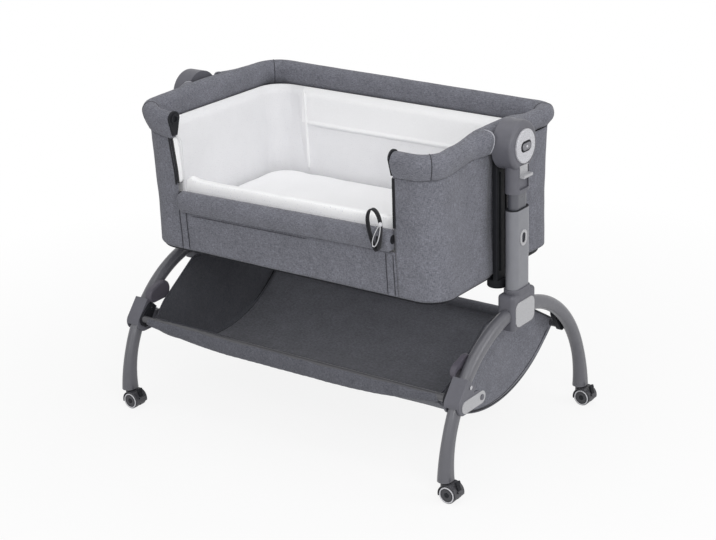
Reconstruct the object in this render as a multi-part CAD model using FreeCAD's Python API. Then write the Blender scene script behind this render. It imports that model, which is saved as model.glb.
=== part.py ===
import FreeCAD, Part
import math
import os

# Bedside sleeper crib: a fabric cot body carried between two telescopic end posts,
# each on an arched leg frame with castors, with a fabric basket slung underneath.
# Millimetres. +X runs along the cot to its right-hand end, -Y is the open bedside, +Z is up.
# The right-hand end is built in place and mirrored for the left-hand end.

V = FreeCAD.Vector
AXIS_X, AXIS_Y, AXIS_Z = V(1, 0, 0), V(0, 1, 0), V(0, 0, 1)

# ---------------------------------------------------------------- clearances
fit = 0.3                    # between pieces that are fitted together
running = 0.05               # radial, pins that turn in their bores
soft_gap = 0.3               # round fabric and padding

# ---------------------------------------------------------------- end frames
frame_x = 430.0              # centre plane of each arch, post and castor stem
leg_bottom = 44.0            # foot of the arch above the floor
arch_radius = 278.0          # half-circle arch, centre line of its tube
arch_depth = 31.0            # flat-oval tube, in the plane of the arch
arch_width = 26.0            # and across it
foot_depth = 40.0            # the tube widens towards each foot
foot_width = 31.0
flare_angle = 20.0           # degrees of the arch over which it widens
tube_wall = 1.5

base_half_y = 46.0           # moulded housing over the crown of the arch
base_half_x = 20.0
base_low = 36.0              # below the crown centre
base_high = 42.0             # above it
collar_high = 50.0
collar_wall = 3.5
plate_half_y = 37.0          # silver plate on its outer face
plate_half_z = 27.0
plate_drop = 3.0             # its middle below the crown centre
plate_corner = 15.0
plate_thick = 2.5
plate_sunk = 1.0

# ---------------------------------------------------------------- posts
outer_post_y, outer_post_x = 64.0, 30.0
outer_post_top = 542.0
inner_post_y, inner_post_x = 50.0, 24.0
post_exposed = 36.0          # inner post showing between outer post and hub
post_overlap = 170.0         # inner post held in the outer post
bush_deep = 22.0
bush_lip = 1.8
window_drop = 61.0           # level window, below the outer post's top
window_y_size, window_z_size = 16.0, 24.0
window_rim = 5.0
window_thick = 1.4

# ---------------------------------------------------------------- hubs
sleeve_length = 98.0         # from the sleeve's mouth up to the hub's axis
hub_radius = 52.0
hub_depth = 45.7
hub_round = 8.0
hub_inner_gap = 1.3          # from the cot's carrier to the hub
hub_inner = 28.7             # hub's inner face, in from the frame plane
sleeve_y, sleeve_x = 63.0, 34.0
post_grip = 40.0             # length of inner post held in the sleeve
disc_radius = 35.5
disc_thick = 5.0
disc_sunk = 1.0
button_long, button_high = 32.0, 15.0    # flat-oval lock button
button_ring = 4.0            # recess round it
button_stand = 2.2           # above the disc
button_travel = 4.0
pivot_radius = 12.0
pivot_length = 26.0

lever_half_y = 15.0
lever_drop = 40.0            # top of the pull tab below the hub's axis
lever_length = 24.0
lever_thick = 2.4
lip_reach = 11.0
lip_high = 6.0
lever_pin_radius = 1.6
slot_half_y = 18.0
slot_length = 53.0
slot_deep = 4.2

# ---------------------------------------------------------------- folding front legs
pivot_angle = 32.6           # degrees up the arch where the front leg folds
pivot_wall = 4.5             # cheeks either side of the leg
cheek_gap = 0.5
nose_wall = 4.7
nose_gap = 0.8
pin_radius = 5.0
lobe_run, lobe_drop = 64.0, 4.0          # cheek lobe behind the pivot
lobe_radius = 17.0
pill_radius = 13.5
pill_run = 4.0
pill_thick = 1.5
leg_button_radius = 6.0
leg_button_stand = 1.6
socket_start, socket_end = 7.0, 10.0     # degrees above the pivot where the arch tube is held
socket_wall = 4.0
cover_reach = 15.0           # moulded cover beside the bracket, inwards
cover_low, cover_high = 12.9, 18.1       # degrees above the pivot
rivet_radius = 3.0

# ---------------------------------------------------------------- castors
wheel_radius = 19.0
wheel_width = 13.5
wheel_inner_y = 3.2
castor_trail = 12.0
hood_gap = 0.9
hood_thick = 1.8
axle_radius = 2.5
stem_radius = 4.0
stem_length = 34.0
neck_radius = 11.0
plug_length = 30.0
brake_half_y = 5.0
brake_thick = 3.0
brake_length = 21.0
brake_angle = 20.0           # of its pin round the wheel, up from +X
brake_lift = 3.5             # of its pin above the wheel's rim
brake_pin_radius = 1.2
brake_swing = 8.0            # degrees, pressed down
ear_thick = 2.4

# ---------------------------------------------------------------- cot body
rim_x, rim_y = 376.0, 229.0  # centre line of the rim tube in plan
rim_corner = 47.0
rim_rise = 11.0              # rim tube above the hub's axis
rim_tube_radius = 9.5
pad_radius = 18.0            # padded sleeve round the tube
pad_drop = 37.0              # from the tube's centre down to the seam
pad_foot = 7.0               # half width of the sleeve at the seam
roll_drop = 28.0             # the same on the lowered rail
sleeve_split = 20.0          # where the front sleeve meets the rear one, from the hub's axis
opening_half = 287.0         # half width of the bedside opening
cap_thick = 4.0
cap_ring = 2.0
clamp_radius, clamp_half = 14.0, 30.0    # grips the rim tubes inside the sleeve
clamp_stop = 10.0            # half gap between the tubes' ends
bar_half_y = 22.0
bar_groove_top = 60.0        # below the hub's axis
bar_thick = 12.0
cot_foot_radius = 22.0
cot_foot_high = 18.0

shell_bottom = 390.0
shell_x_low, shell_y_low, shell_corner_low = 383.0, 221.0, 60.0
shell_x_top, shell_y_top, shell_corner_top = 381.0, 234.0, 54.0
shell_thick = 3.0
lining_x, lining_y, lining_corner = 362.0, 215.0, 58.0
lining_thick = 8.0
lining_tuck = 7.0            # lining above the cover's seam, inside the sleeve
low_wall_top = 482.0

loop_radius = 8.0            # tube of the bottom frame
loop_gap = 1.0
board_thick = 18.7
mattress_thick = 37.5
mattress_gap = 4.0

# ---------------------------------------------------------------- lowered bedside rail
drop_travel = 171.0
drop_end_gap = 10.0          # from the opening's edge to the end of the rail padding
bolster_thick, bolster_top = 14.0, 556.0      # soft top of the low wall behind the rail
strap_inset, strap_width, strap_thick = 21.0, 12.0, 2.0
strap_loop_x, strap_loop_z = 17.0, 22.0
strap_hook_radius = 1.5

# ---------------------------------------------------------------- storage basket
front_rail_y, front_rail_z = -240.0, 204.0
rear_rail_y, rear_rail_z = 218.0, 206.0
rail_radius = 8.0
pad_sag = 5.0                # the padding hangs below its rail
basket_x = 388.0
basket_thick = 3.0
hem_thick = 2.5
basket_low_y, basket_low_z = -15.0, 97.0
basket_dip = 20.0            # sling's front edge below its rail
basket_crown_y, basket_crown_z = 72.0, 306.0
basket_pad_y, basket_pad_z = 22.0, 38.0
lug_thick = 5.7
lug_radius, lug_tip = 16.0, 12.0
lug_lean, lug_rise = 27.0, 18.0          # front lug's upper end, from the rail
lug_drop = 4.0                           # and its lower end below the rail
rear_lug_angle = 46.0                    # degrees up the arch where the rear lug ends
rivet_head = 1.5

# ---------------------------------------------------------------- derived places
far = 4 * frame_x                        # reach of cutting tools
foot_y = arch_radius
arch_z = leg_bottom + arch_radius
pivot_y = -arch_radius * math.cos(math.radians(pivot_angle))
pivot_z = leg_bottom + arch_radius * math.sin(math.radians(pivot_angle))
lobe_y, lobe_z = pivot_y + lobe_run, pivot_z - lobe_drop
outer_face_x = frame_x + arch_width / 2 + cheek_gap + pivot_wall
inner_face_x = frame_x - arch_width / 2 - cheek_gap - pivot_wall
base_outer_x = frame_x + base_half_x - 1
base_inner_x = frame_x - base_half_x - 1
plate_x = base_outer_x - plate_sunk
post_bottom = arch_z + arch_depth / 2 + 2
socket_floor = post_bottom - fit
inner_post_bottom = outer_post_top - post_overlap
sleeve_bottom = outer_post_top + post_exposed
inner_post_top = sleeve_bottom + post_grip
window_z = outer_post_top - window_drop
hub_z = sleeve_bottom + sleeve_length
hub_inner_x = frame_x - hub_inner
hub_outer_x = hub_inner_x + hub_depth
disc_x = hub_outer_x - disc_sunk + fit
button_top_x = disc_x + disc_thick + button_stand
sleeve_face_x = frame_x + sleeve_x / 2
lever_high = hub_z - lever_drop
lever_low = lever_high - lever_length
lever_pin_x = sleeve_face_x - slot_deep / 2 - 0.2
lever_pin_z = lever_high - 1
slot_high = lever_high + 3
carrier_face_x = hub_inner_x - hub_inner_gap
rim_z = hub_z + rim_rise
shell_top = rim_z - pad_drop - soft_gap
lining_top = shell_top + lining_tuck
loop_z = shell_bottom
loop_x = shell_x_low - shell_thick - loop_gap - loop_radius
loop_y = shell_y_low - shell_thick - loop_gap - loop_radius
loop_corner = shell_corner_low - shell_thick - loop_gap - loop_radius
board_z = loop_z + loop_radius + fit
lining_z = board_z + board_thick + fit
mattress_z = lining_z
drop_z = rim_z - drop_travel
drop_half = opening_half - drop_end_gap
strap_x = drop_half - strap_inset
roll_back_y = -rim_y + pad_radius + soft_gap
roll_front_y = -rim_y - pad_radius - soft_gap
strap_loop_mid = drop_z + pad_radius + strap_loop_z + 4
bar_x = shell_x_low + 1
cot_foot_z = loop_z - loop_radius - fit
lug_face_x = inner_face_x - fit
rail_half = lug_face_x - lug_thick - fit
basket_pad_z0 = front_rail_z - pad_sag


# ================================================================ helpers
def block(x0, x1, y0, y1, z0, z1):
    return Part.makeBox(x1 - x0, y1 - y0, z1 - z0, V(x0, y0, z0))


def rod(start, direction, radius, length):
    return Part.makeCylinder(radius, length, start, direction)


def fuse(shapes):
    shapes = list(shapes)
    return shapes[0].fuse(shapes[1:]).removeSplitter() if len(shapes) > 1 else shapes[0]


def mirrored(shape):
    return shape.mirror(V(0, 0, 0), AXIS_X)


def both_ends(shape):
    return Part.makeCompound([shape, mirrored(shape)])


def oval_wire(centre, long_way, short_way, long_size, short_size):
    """A flat oval: two straight sides joined by half circles."""
    flat = long_way * ((long_size - short_size) / 2)
    side = short_way * (short_size / 2)
    tip = long_way * (long_size / 2)
    corners = [centre + flat + side, centre - flat + side, centre - flat - side, centre + flat - side]
    edges = [Part.LineSegment(corners[0], corners[1]).toShape(),
             Part.Arc(corners[1], centre - tip, corners[2]).toShape(),
             Part.LineSegment(corners[2], corners[3]).toShape(),
             Part.Arc(corners[3], centre + tip, corners[0]).toShape()]
    return Part.Wire(edges)


def oval_face(*form):
    return Part.Face(oval_wire(*form))


def post_bar(x, long_size, short_size, z0, z1):
    """Upright flat-oval bar, long side across the cot."""
    face = oval_face(V(x, 0, z0), AXIS_Y, AXIS_X, long_size, short_size)
    return face.extrude(V(0, 0, z1 - z0))


def link_face(x, y1, z1, r1, y2, z2, r2):
    """Belt outline round two circles, in the plane of the arch at x."""
    run = math.hypot(y2 - y1, z2 - z1)
    along = V(0, (y2 - y1) / run, (z2 - z1) / run)
    across = V(0, -along.z, along.y)
    lean = (r1 - r2) / run
    rise = math.sqrt(1 - lean ** 2)
    up = along * lean + across * rise
    down = along * lean - across * rise
    first, second = V(x, y1, z1), V(x, y2, z2)
    edges = [Part.LineSegment(first + up * r1, second + up * r2).toShape(),
             Part.Arc(second + up * r2, second + along * r2, second + down * r2).toShape(),
             Part.LineSegment(second + down * r2, first + down * r1).toShape(),
             Part.Arc(first + down * r1, first - along * r1, first + up * r1).toShape()]
    return Part.Face(Part.Wire(edges))


def link(x0, x1, y1, z1, r1, y2, z2, r2):
    return link_face(x0, y1, z1, r1, y2, z2, r2).extrude(V(x1 - x0, 0, 0))


def outline(x, points):
    """Closed polygon of (y, z) points in the plane of the arch at x."""
    return Part.Face(Part.makePolygon([V(x, y, z) for y, z in points + points[:1]]))


def rounded_rectangle(half_x, half_y, corner, z):
    turn = corner * (1 - math.sqrt(0.5))
    edges = []
    for sx, sy in ((1, 1), (-1, 1), (-1, -1), (1, -1)):
        on_side = V(sx * half_x, sy * (half_y - corner), z)
        on_end = V(sx * (half_x - corner), sy * half_y, z)
        middle = V(sx * (half_x - turn), sy * (half_y - turn), z)
        start, end = (on_side, on_end) if sx * sy > 0 else (on_end, on_side)
        edges.append((start, middle, end))
    pieces = []
    for index, (start, middle, end) in enumerate(edges):
        pieces.append(Part.Arc(start, middle, end).toShape())
        pieces.append(Part.LineSegment(end, edges[(index + 1) % 4][0]).toShape())
    return Part.Wire(pieces)


def tray(half_x, half_y, corner, z0, z1):
    return Part.Face(rounded_rectangle(half_x, half_y, corner, z0)).extrude(V(0, 0, z1 - z0))


def padded_profile(origin, outward, radius, drop, foot):
    """Padded sleeve section: round over the tube, drawn in to the seam below."""
    side, down = outward * radius, V(0, 0, -drop)
    left_foot, right_foot = origin - outward * foot + down, origin + outward * foot + down
    edges = [Part.Arc(origin + side, origin + AXIS_Z * radius, origin - side).toShape(),
             Part.LineSegment(origin - side, left_foot).toShape(),
             Part.LineSegment(left_foot, right_foot).toShape(),
             Part.LineSegment(right_foot, origin + side).toShape()]
    return Part.Face(Part.Wire(edges))


def pad_section(origin, outward, drop=pad_drop):
    sleeve = padded_profile(origin, outward, pad_radius, drop, pad_foot)
    return sleeve.cut(round_section(origin, outward, rim_tube_radius + soft_gap))


def round_section(origin, outward, radius):
    normal = outward.cross(AXIS_Z)
    return Part.Face(Part.Wire(Part.makeCircle(radius, origin, normal)))


def tube_section(origin, outward):
    return round_section(origin, outward, rim_tube_radius).cut(
        round_section(origin, outward, rim_tube_radius - tube_wall))


def rim_quarter(section, start_y, end_x, z, half_x=None, half_y=None, corner=None):
    """Sweep a section from the cot's end, round one back corner and in to end_x."""
    half_x = rim_x if half_x is None else half_x
    half_y = rim_y if half_y is None else half_y
    corner = rim_corner if corner is None else corner
    bend = half_y - corner
    along_end = section(V(half_x, start_y, z), AXIS_X).extrude(V(0, bend - start_y, 0))
    turn = section(V(half_x, bend, z), AXIS_X).revolve(V(half_x - corner, bend, z), AXIS_Z, 90)
    along_side = section(V(half_x - corner, half_y, z), AXIS_Y).extrude(
        V(end_x - (half_x - corner), 0, 0))
    return fuse([along_end, turn, along_side])


# ================================================================ arch frames
def arch_station(angle, grow):
    """Outline of the arch tube at an angle up from the back foot."""
    share = max(0.0, 1 - angle / flare_angle) ** 1.5
    depth = arch_depth + (foot_depth - arch_depth) * share + 2 * grow
    width = arch_width + (foot_width - arch_width) * share + 2 * grow
    turn = math.radians(angle)
    outward = V(0, math.cos(turn), math.sin(turn))
    return oval_wire(V(frame_x, 0, leg_bottom) + outward * arch_radius, outward, AXIS_X, depth, width)


def foot_bar(grow, high=flare_angle):
    """Flared foot of the arch, lofted through its stations."""
    return Part.makeLoft([arch_station(high * step / 5, grow) for step in range(6)], True)


def arch_ring(grow, low, high):
    """Plain part of the arch between two angles up from the back foot."""
    face = Part.Face(arch_station(flare_angle, grow))
    face.rotate(V(frame_x, 0, leg_bottom), AXIS_X, low - flare_angle)
    return face.revolve(V(frame_x, 0, leg_bottom), AXIS_X, high - low)


def footed_tube(top):
    """Hollow tube from a foot up to an angle, with the insert that takes the castor."""
    solid, hollow = (fuse([foot_bar(grow), arch_ring(grow, flare_angle, top)])
                     for grow in (0, -tube_wall))
    plug = foot_bar(-tube_wall - fit, math.degrees(plug_length / arch_radius))
    plug = plug.cut(rod(V(frame_x, foot_y, leg_bottom - 1), AXIS_Z, stem_radius + running,
                        plug_length + 2))
    return solid, hollow, plug


def arch():
    """Arched tube from the back foot over the crown into the front bracket."""
    solid, hollow, plug = footed_tube(180 - pivot_angle - socket_start)
    return Part.makeCompound([solid.cut(hollow), plug])


def front_leg():
    """Lower front leg, built as a back foot and turned round: knuckle, tube and insert."""
    solid, hollow, plug = footed_tube(pivot_angle)
    place = V(frame_x - arch_width / 2, -pivot_y, pivot_z)
    knuckle = rod(place, AXIS_X, arch_depth / 2, arch_width)
    bore = rod(place - AXIS_X, AXIS_X, pin_radius + running, arch_width + 2)
    leg = fuse([solid.cut(hollow.cut(knuckle)), knuckle]).cut(bore)
    return Part.makeCompound([leg, plug]).mirror(V(0, 0, 0), AXIS_Y)


def plate_body(x, thick, half_y, half_z):
    face = Part.Face(rounded_rectangle(half_z, half_y, plate_corner, 0))
    face.rotate(V(0, 0, 0), AXIS_Y, 90)
    face.translate(V(x, 0, arch_z - plate_drop))
    return face.extrude(V(thick, 0, 0))


def base_housing():
    """Moulded housing where the post stands on the arch."""
    x0, x1 = base_inner_x, base_outer_x
    low, top, collar_top = arch_z - base_low, arch_z + base_high, arch_z + collar_high
    body = block(x0, x1, -base_half_y, base_half_y, low, top)
    body = body.makeFillet(9, [e for e in body.Edges if abs(e.tangentAt(e.FirstParameter).z) > 0.9])
    body = body.makeFillet(8, [e for e in body.Edges if e.BoundBox.ZMin > top - 0.01])
    body = body.makeFillet(4, [e for e in body.Edges if e.BoundBox.ZMax < low + 0.01])
    collar = post_bar(frame_x, outer_post_y + 2 * collar_wall, outer_post_x + 2 * collar_wall,
                      arch_z, collar_top)
    collar = collar.makeFillet(2, [e for e in collar.Edges if e.BoundBox.ZMin > collar_top - 0.01])
    socket = post_bar(frame_x, outer_post_y + 2 * fit, outer_post_x + 2 * fit,
                      socket_floor, collar_top + 1)
    seat = plate_body(plate_x, plate_thick, plate_half_y + fit, plate_half_z + fit)
    return fuse([body, collar]).cut(arch_ring(fit, 60, 120)).cut(socket).cut(seat)


def base_plate():
    plate = plate_body(plate_x + fit, plate_thick, plate_half_y, plate_half_z)
    outer = [e for e in plate.Edges if e.BoundBox.XMin > plate_x + plate_thick]
    return plate.makeFillet(0.8, outer)


def arch_point(above, offset=0):
    """Place on the arch, in degrees above the leg's pivot."""
    turn = math.radians(pivot_angle + above)
    radius = arch_radius + offset
    return -radius * math.cos(turn), leg_bottom + radius * math.sin(turn)


def bracket_body(grow, x0, x1):
    """Side form of the folding-leg bracket, grown all round by grow."""
    nose = arch_depth / 2 + nose_gap + nose_wall + grow
    top_y, top_z = arch_point(socket_end + 1)
    arm = link(x0, x1, pivot_y, pivot_z, nose, top_y, top_z, arch_depth / 2 + socket_wall + grow)
    lobe = link(x0, x1, pivot_y, pivot_z, nose, lobe_y, lobe_z, lobe_radius + grow)
    return fuse([arm, lobe])


def beyond_socket(x0, x1):
    """Space past the square-cut upper end of the bracket."""
    reach = 2 * arch_depth
    low, high = arch_point(socket_end, -reach), arch_point(socket_end, reach)
    turn = math.radians(pivot_angle + socket_end)
    away_y, away_z = reach * math.sin(turn), reach * math.cos(turn)
    corners = [low, high, (high[0] + away_y, high[1] + away_z), (low[0] + away_y, low[1] + away_z)]
    return outline(x0, corners).extrude(V(x1 - x0, 0, 0))


def leg_slot(x0, x1):
    """Space between the cheeks that the leg needs as it folds back under the cot."""
    swing = arch_depth / 2 + nose_gap
    reach = lobe_run + lobe_radius
    turn = math.radians(pivot_angle)
    front_y, front_z = arch_point(0, swing)
    corners = [(front_y, front_z), (front_y - reach * math.sin(turn), front_z - reach * math.cos(turn)),
               (lobe_y + reach, pivot_z - reach), (lobe_y + reach, pivot_z + swing),
               (pivot_y, pivot_z + swing)]
    sweep = outline(x0, corners).extrude(V(x1 - x0, 0, 0))
    return fuse([sweep, rod(V(x0, pivot_y, pivot_z), AXIS_X, swing, x1 - x0)])


def leg_bracket():
    """Cheeks, closed nose and tube socket of the folding front leg."""
    body = bracket_body(0, inner_face_x, outer_face_x)
    rounded = [e for e in body.Edges
               if e.BoundBox.XLength < 0.01 and e.BoundBox.XMin > outer_face_x - 0.01]
    body = body.makeFillet(2.0, rounded)
    slot_x0, slot_x1 = inner_face_x + pivot_wall, outer_face_x - pivot_wall
    through = pivot_wall + 2
    body = body.cut(beyond_socket(inner_face_x - 1, outer_face_x + 1)).cut(leg_slot(slot_x0, slot_x1))
    body = body.cut(arch_ring(fit, 90, 180 - pivot_angle - socket_start + 0.2))
    for x, y, z, radius, length in (
            (inner_face_x - 1, pivot_y, pivot_z, pin_radius, outer_face_x - inner_face_x + 2),
            (slot_x1 - 1, lobe_y, lobe_z, leg_button_radius + fit, through),
            (slot_x1 - 1, *rivet_place(), rivet_radius + fit / 2, through)):
        body = body.cut(rod(V(x, y, z), AXIS_X, radius, length))
    return body


def rivet_place():
    return arch_point(socket_start + 1.2)


def bracket_plate():
    plate = link(outer_face_x, outer_face_x + pill_thick, pivot_y + pill_run, lobe_z, pill_radius,
                 lobe_y, lobe_z, pill_radius)
    return plate.cut(rod(V(outer_face_x - 1, lobe_y, lobe_z), AXIS_X, leg_button_radius + fit, 10))


def leg_button():
    inner = outer_face_x - pivot_wall + 1
    outer = outer_face_x + pill_thick + leg_button_stand
    return rod(V(inner, lobe_y, lobe_z), AXIS_X, leg_button_radius, outer - inner)


def bracket_cover():
    """Moulded cover on the inner face of the arch, above the bracket."""
    x1 = frame_x - arch_width / 2 - fit
    x0 = x1 - cover_reach
    low, high = arch_point(cover_low, arch_depth / 3), arch_point(cover_high, -arch_depth / 5)
    body = link(x0, x1, *low, arch_depth / 2 + 2, *high, arch_depth / 2 + 6)
    body = body.makeFillet(5, [e for e in body.Edges if e.BoundBox.XMax < x0 + 0.01])
    return body.cut(bracket_body(fit, inner_face_x - fit, outer_face_x)).cut(front_lug(fit))


def bracket_pins():
    """Leg pivot pin, socket rivet and the two rivets of the basket lug."""
    pin = rod(V(inner_face_x, pivot_y, pivot_z), AXIS_X, pin_radius, outer_face_x - inner_face_x)
    shank = rod(V(frame_x + arch_width / 2 + fit, *rivet_place()), AXIS_X, rivet_radius,
                outer_face_x - frame_x - arch_width / 2)
    head = rod(V(outer_face_x + fit, *rivet_place()), AXIS_X, rivet_radius + 1.5, rivet_head)
    lug = [rod(V(lug_face_x - lug_thick - rivet_head, front_rail_y + y, front_rail_z + z), AXIS_X,
               rivet_radius, rivet_head)
           for y, z in ((lug_lean, lug_rise), (lug_lean / 4, lug_rise / 2 - lug_radius - 7))]
    return Part.makeCompound([pin, fuse([shank, head])] + lug)


# ================================================================ posts and hubs
def outer_post():
    post = post_bar(frame_x, outer_post_y, outer_post_x, post_bottom, outer_post_top)
    post = post.cut(post_bar(frame_x, outer_post_y - 2 * tube_wall, outer_post_x - 2 * tube_wall,
                             post_bottom - 1, outer_post_top + 1))
    window = oval_face(V(frame_x, 0, window_z), AXIS_Z, AXIS_Y, window_z_size, window_y_size)
    return post.cut(window.extrude(V(outer_post_x, 0, 0)))


def post_window():
    x = frame_x + outer_post_x / 2
    outer = oval_face(V(x, 0, window_z), AXIS_Z, AXIS_Y, window_z_size + 2 * window_rim,
                      window_y_size + 2 * window_rim)
    inner = oval_face(V(x, 0, window_z), AXIS_Z, AXIS_Y, window_z_size - 2, window_y_size - 2)
    return outer.cut(inner).extrude(V(window_thick, 0, 0))


def post_bush():
    shrink = 2 * (tube_wall + fit)
    body = post_bar(frame_x, outer_post_y - shrink, outer_post_x - shrink,
                    outer_post_top - bush_deep, outer_post_top + 0.5)
    lip = post_bar(frame_x, outer_post_y, outer_post_x, outer_post_top, outer_post_top + bush_lip)
    bore = post_bar(frame_x, inner_post_y + 2 * fit, inner_post_x + 2 * fit,
                    outer_post_top - bush_deep - 1, outer_post_top + bush_lip + 1)
    return fuse([body, lip]).cut(bore)


def inner_post():
    post = post_bar(frame_x, inner_post_y, inner_post_x, inner_post_bottom, inner_post_top)
    return post.cut(post_bar(frame_x, inner_post_y - 2 * tube_wall, inner_post_x - 2 * tube_wall,
                             inner_post_bottom - 1, inner_post_top + 1))


def hub_housing():
    """Hub drum and the sleeve below it that grips the inner post."""
    drum = rod(V(hub_inner_x, 0, hub_z), AXIS_X, hub_radius, hub_depth)
    rim = [e for e in drum.Edges if e.BoundBox.XMin > hub_outer_x - 0.01 and e.BoundBox.ZLength > 1]
    drum = drum.makeFillet(hub_round, rim)
    sleeve = post_bar(frame_x, sleeve_y, sleeve_x, sleeve_bottom, hub_z)
    body = fuse([drum, sleeve])
    socket = post_bar(frame_x, inner_post_y + 2 * fit, inner_post_x + 2 * fit,
                      sleeve_bottom - 1, inner_post_top + fit)
    bore = rod(V(hub_inner_x - 1, 0, hub_z), AXIS_X, pivot_radius + running, pivot_length + 1)
    disc_seat = rod(V(hub_outer_x - disc_sunk, 0, hub_z), AXIS_X, disc_radius + fit, 10)
    button_seat = button_form(hub_outer_x - 2 * button_travel, hub_outer_x + 2, 2 * fit)
    slot = block(sleeve_face_x - slot_deep, sleeve_face_x + 5, -slot_half_y, slot_half_y,
                 slot_high - slot_length, slot_high)
    pin_hole = rod(V(lever_pin_x, -slot_half_y - 4, lever_pin_z), AXIS_Y,
                   lever_pin_radius + running, 2 * slot_half_y + 8)
    return body.cut(socket).cut(bore).cut(disc_seat).cut(button_seat).cut(slot).cut(pin_hole)


def opened_hub_housing():
    """Left hub: its bore is eased, because the cot's pivot is carried by the right hub."""
    eased = rod(V(hub_inner_x - 1, 0, hub_z), AXIS_X, pivot_radius + fit, pivot_length + 1 + fit)
    return mirrored(hub_housing().cut(eased))


def hub_disc():
    disc = rod(V(disc_x, 0, hub_z), AXIS_X, disc_radius, disc_thick)
    edge = [e for e in disc.Edges if e.BoundBox.XMin > disc_x + disc_thick - 0.01
            and e.BoundBox.ZLength > 1]
    disc = disc.makeFillet(1.5, edge)
    return disc.cut(button_form(disc_x - 1, disc_x + disc_thick + 1, button_ring))


def button_form(x0, x1, grow):
    face = oval_face(V(x0, 0, hub_z), AXIS_Y, AXIS_Z, button_long + 2 * grow, button_high + 2 * grow)
    return face.extrude(V(x1 - x0, 0, 0))


def hub_button():
    button = button_form(hub_outer_x - button_travel, button_top_x, 0)
    return button.makeFillet(1.2, [e for e in button.Edges if e.BoundBox.XMin > button_top_x - 0.01])


def height_lever():
    """Silver pull tab with a finger lip, hung on a pin at its top."""
    half = lever_thick / 2
    tip_x = sleeve_face_x + lip_reach
    tab = block(lever_pin_x - half, lever_pin_x + half, -lever_half_y, lever_half_y,
                lever_low, lever_pin_z)
    lip = block(lever_pin_x - half, tip_x, -lever_half_y - 1.5, lever_half_y + 1.5,
                lever_low, lever_low + lip_high)
    lip = lip.makeFillet(1.8, [e for e in lip.Edges if e.BoundBox.XMin > tip_x - 0.01])
    pin = rod(V(lever_pin_x, -slot_half_y - 3, lever_pin_z), AXIS_Y, lever_pin_radius,
              2 * slot_half_y + 6)
    return fuse([tab, lip, pin])


# ================================================================ castors
def castor_body(y):
    """Stem, neck, web and hood of a twin-wheel castor that trails towards +X."""
    wheel_x = frame_x + castor_trail
    half = wheel_inner_y + wheel_width
    inner = wheel_radius + hood_gap
    hood = rod(V(wheel_x, y - half, wheel_radius), AXIS_Y, inner + hood_thick, 2 * half)
    hood = hood.cut(rod(V(wheel_x, y - half - 1, wheel_radius), AXIS_Y, inner, 2 * half + 2))
    hood = hood.cut(block(wheel_x - 40, wheel_x + 40, y - 40, y + 40, -40, wheel_radius - 5))
    web = rod(V(wheel_x, y - wheel_inner_y + 0.6, wheel_radius), AXIS_Y, inner + 0.5,
              2 * (wheel_inner_y - 0.6))
    web = web.cut(block(wheel_x - 40, wheel_x + 40, y - 40, y + 40, -40, wheel_radius / 2))
    neck_low = wheel_radius + 6
    neck = rod(V(frame_x, y, neck_low), AXIS_Z, neck_radius, leg_bottom - 1 - neck_low)
    stem = rod(V(frame_x, y, leg_bottom - 4), AXIS_Z, stem_radius, stem_length)
    pin_x, pin_z = brake_pin_place()
    ear_y = y - brake_half_y - fit - ear_thick
    ears = rod(V(pin_x, ear_y, pin_z), AXIS_Y, brake_pin_radius + 1.6, 2 * (y - ear_y))
    room = [rod(V(wheel_x, y + side * (wheel_inner_y - 0.6), wheel_radius), AXIS_Y * side, inner,
                half + 2) for side in (-1, 1)]
    room += [brake_bar(y, fit, angle) for angle in (0, brake_swing / 2, brake_swing)]
    room.append(rod(V(pin_x, ear_y - 1, pin_z), AXIS_Y, brake_pin_radius + running,
                    2 * (y - ear_y) + 2))
    room.append(rod(V(wheel_x, y - half, wheel_radius), AXIS_Y, axle_radius + running, 2 * half))
    return fuse([hood, web, neck, stem, ears]).cut(room)


def castor_wheels(y):
    wheel_x = frame_x + castor_trail
    pieces = []
    for side in (-1, 1):
        start = y + side * wheel_inner_y
        wheel = rod(V(wheel_x, start, wheel_radius), AXIS_Y * side, wheel_radius, wheel_width)
        face_y = start + side * wheel_width
        edges = [e for e in wheel.Edges if e.BoundBox.YLength < 0.01]
        wheel = wheel.makeFillet(1.8, edges)
        groove = rod(V(wheel_x, face_y, wheel_radius), AXIS_Y * -side, wheel_radius - 4.2, 0.8)
        groove = groove.cut(rod(V(wheel_x, face_y, wheel_radius), AXIS_Y * -side,
                                wheel_radius - 7, 0.8))
        pieces.append(wheel.cut(groove).cut(
            rod(V(wheel_x, start, wheel_radius), AXIS_Y * side, axle_radius + running, 8)))
    reach = wheel_inner_y + 7.5
    pieces.append(rod(V(wheel_x, y - reach, wheel_radius), AXIS_Y, axle_radius, 2 * reach))
    return Part.makeCompound(pieces)


def brake_pin_place():
    turn = math.radians(brake_angle)
    radius = wheel_radius + brake_lift
    return (frame_x + castor_trail + radius * math.cos(turn),
            wheel_radius + radius * math.sin(turn))


def brake_bar(y, grow, press=0):
    """Straight pedal standing from its pin, pressed by an angle towards the wheel."""
    pin_x, pin_z = brake_pin_place()
    half = brake_thick / 2 + grow
    bar = block(pin_x - half, pin_x + half, y - brake_half_y - grow, y + brake_half_y + grow,
                pin_z - half, pin_z + brake_length + grow)
    bar.rotate(V(pin_x, y, pin_z), AXIS_Y, -brake_angle - press)
    return bar


def castor_brake(y):
    pin_x, pin_z = brake_pin_place()
    reach = brake_half_y + fit + ear_thick
    tab = block(pin_x - brake_thick / 2, pin_x + brake_thick / 2 + 2.5, y - brake_half_y - 1.5,
                y + brake_half_y + 1.5, pin_z + brake_length - 6, pin_z + brake_length)
    tab.rotate(V(pin_x, y, pin_z), AXIS_Y, -brake_angle)
    pin = rod(V(pin_x, y - reach, pin_z), AXIS_Y, brake_pin_radius, 2 * reach)
    return fuse([brake_bar(y, 0), tab, pin])


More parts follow.
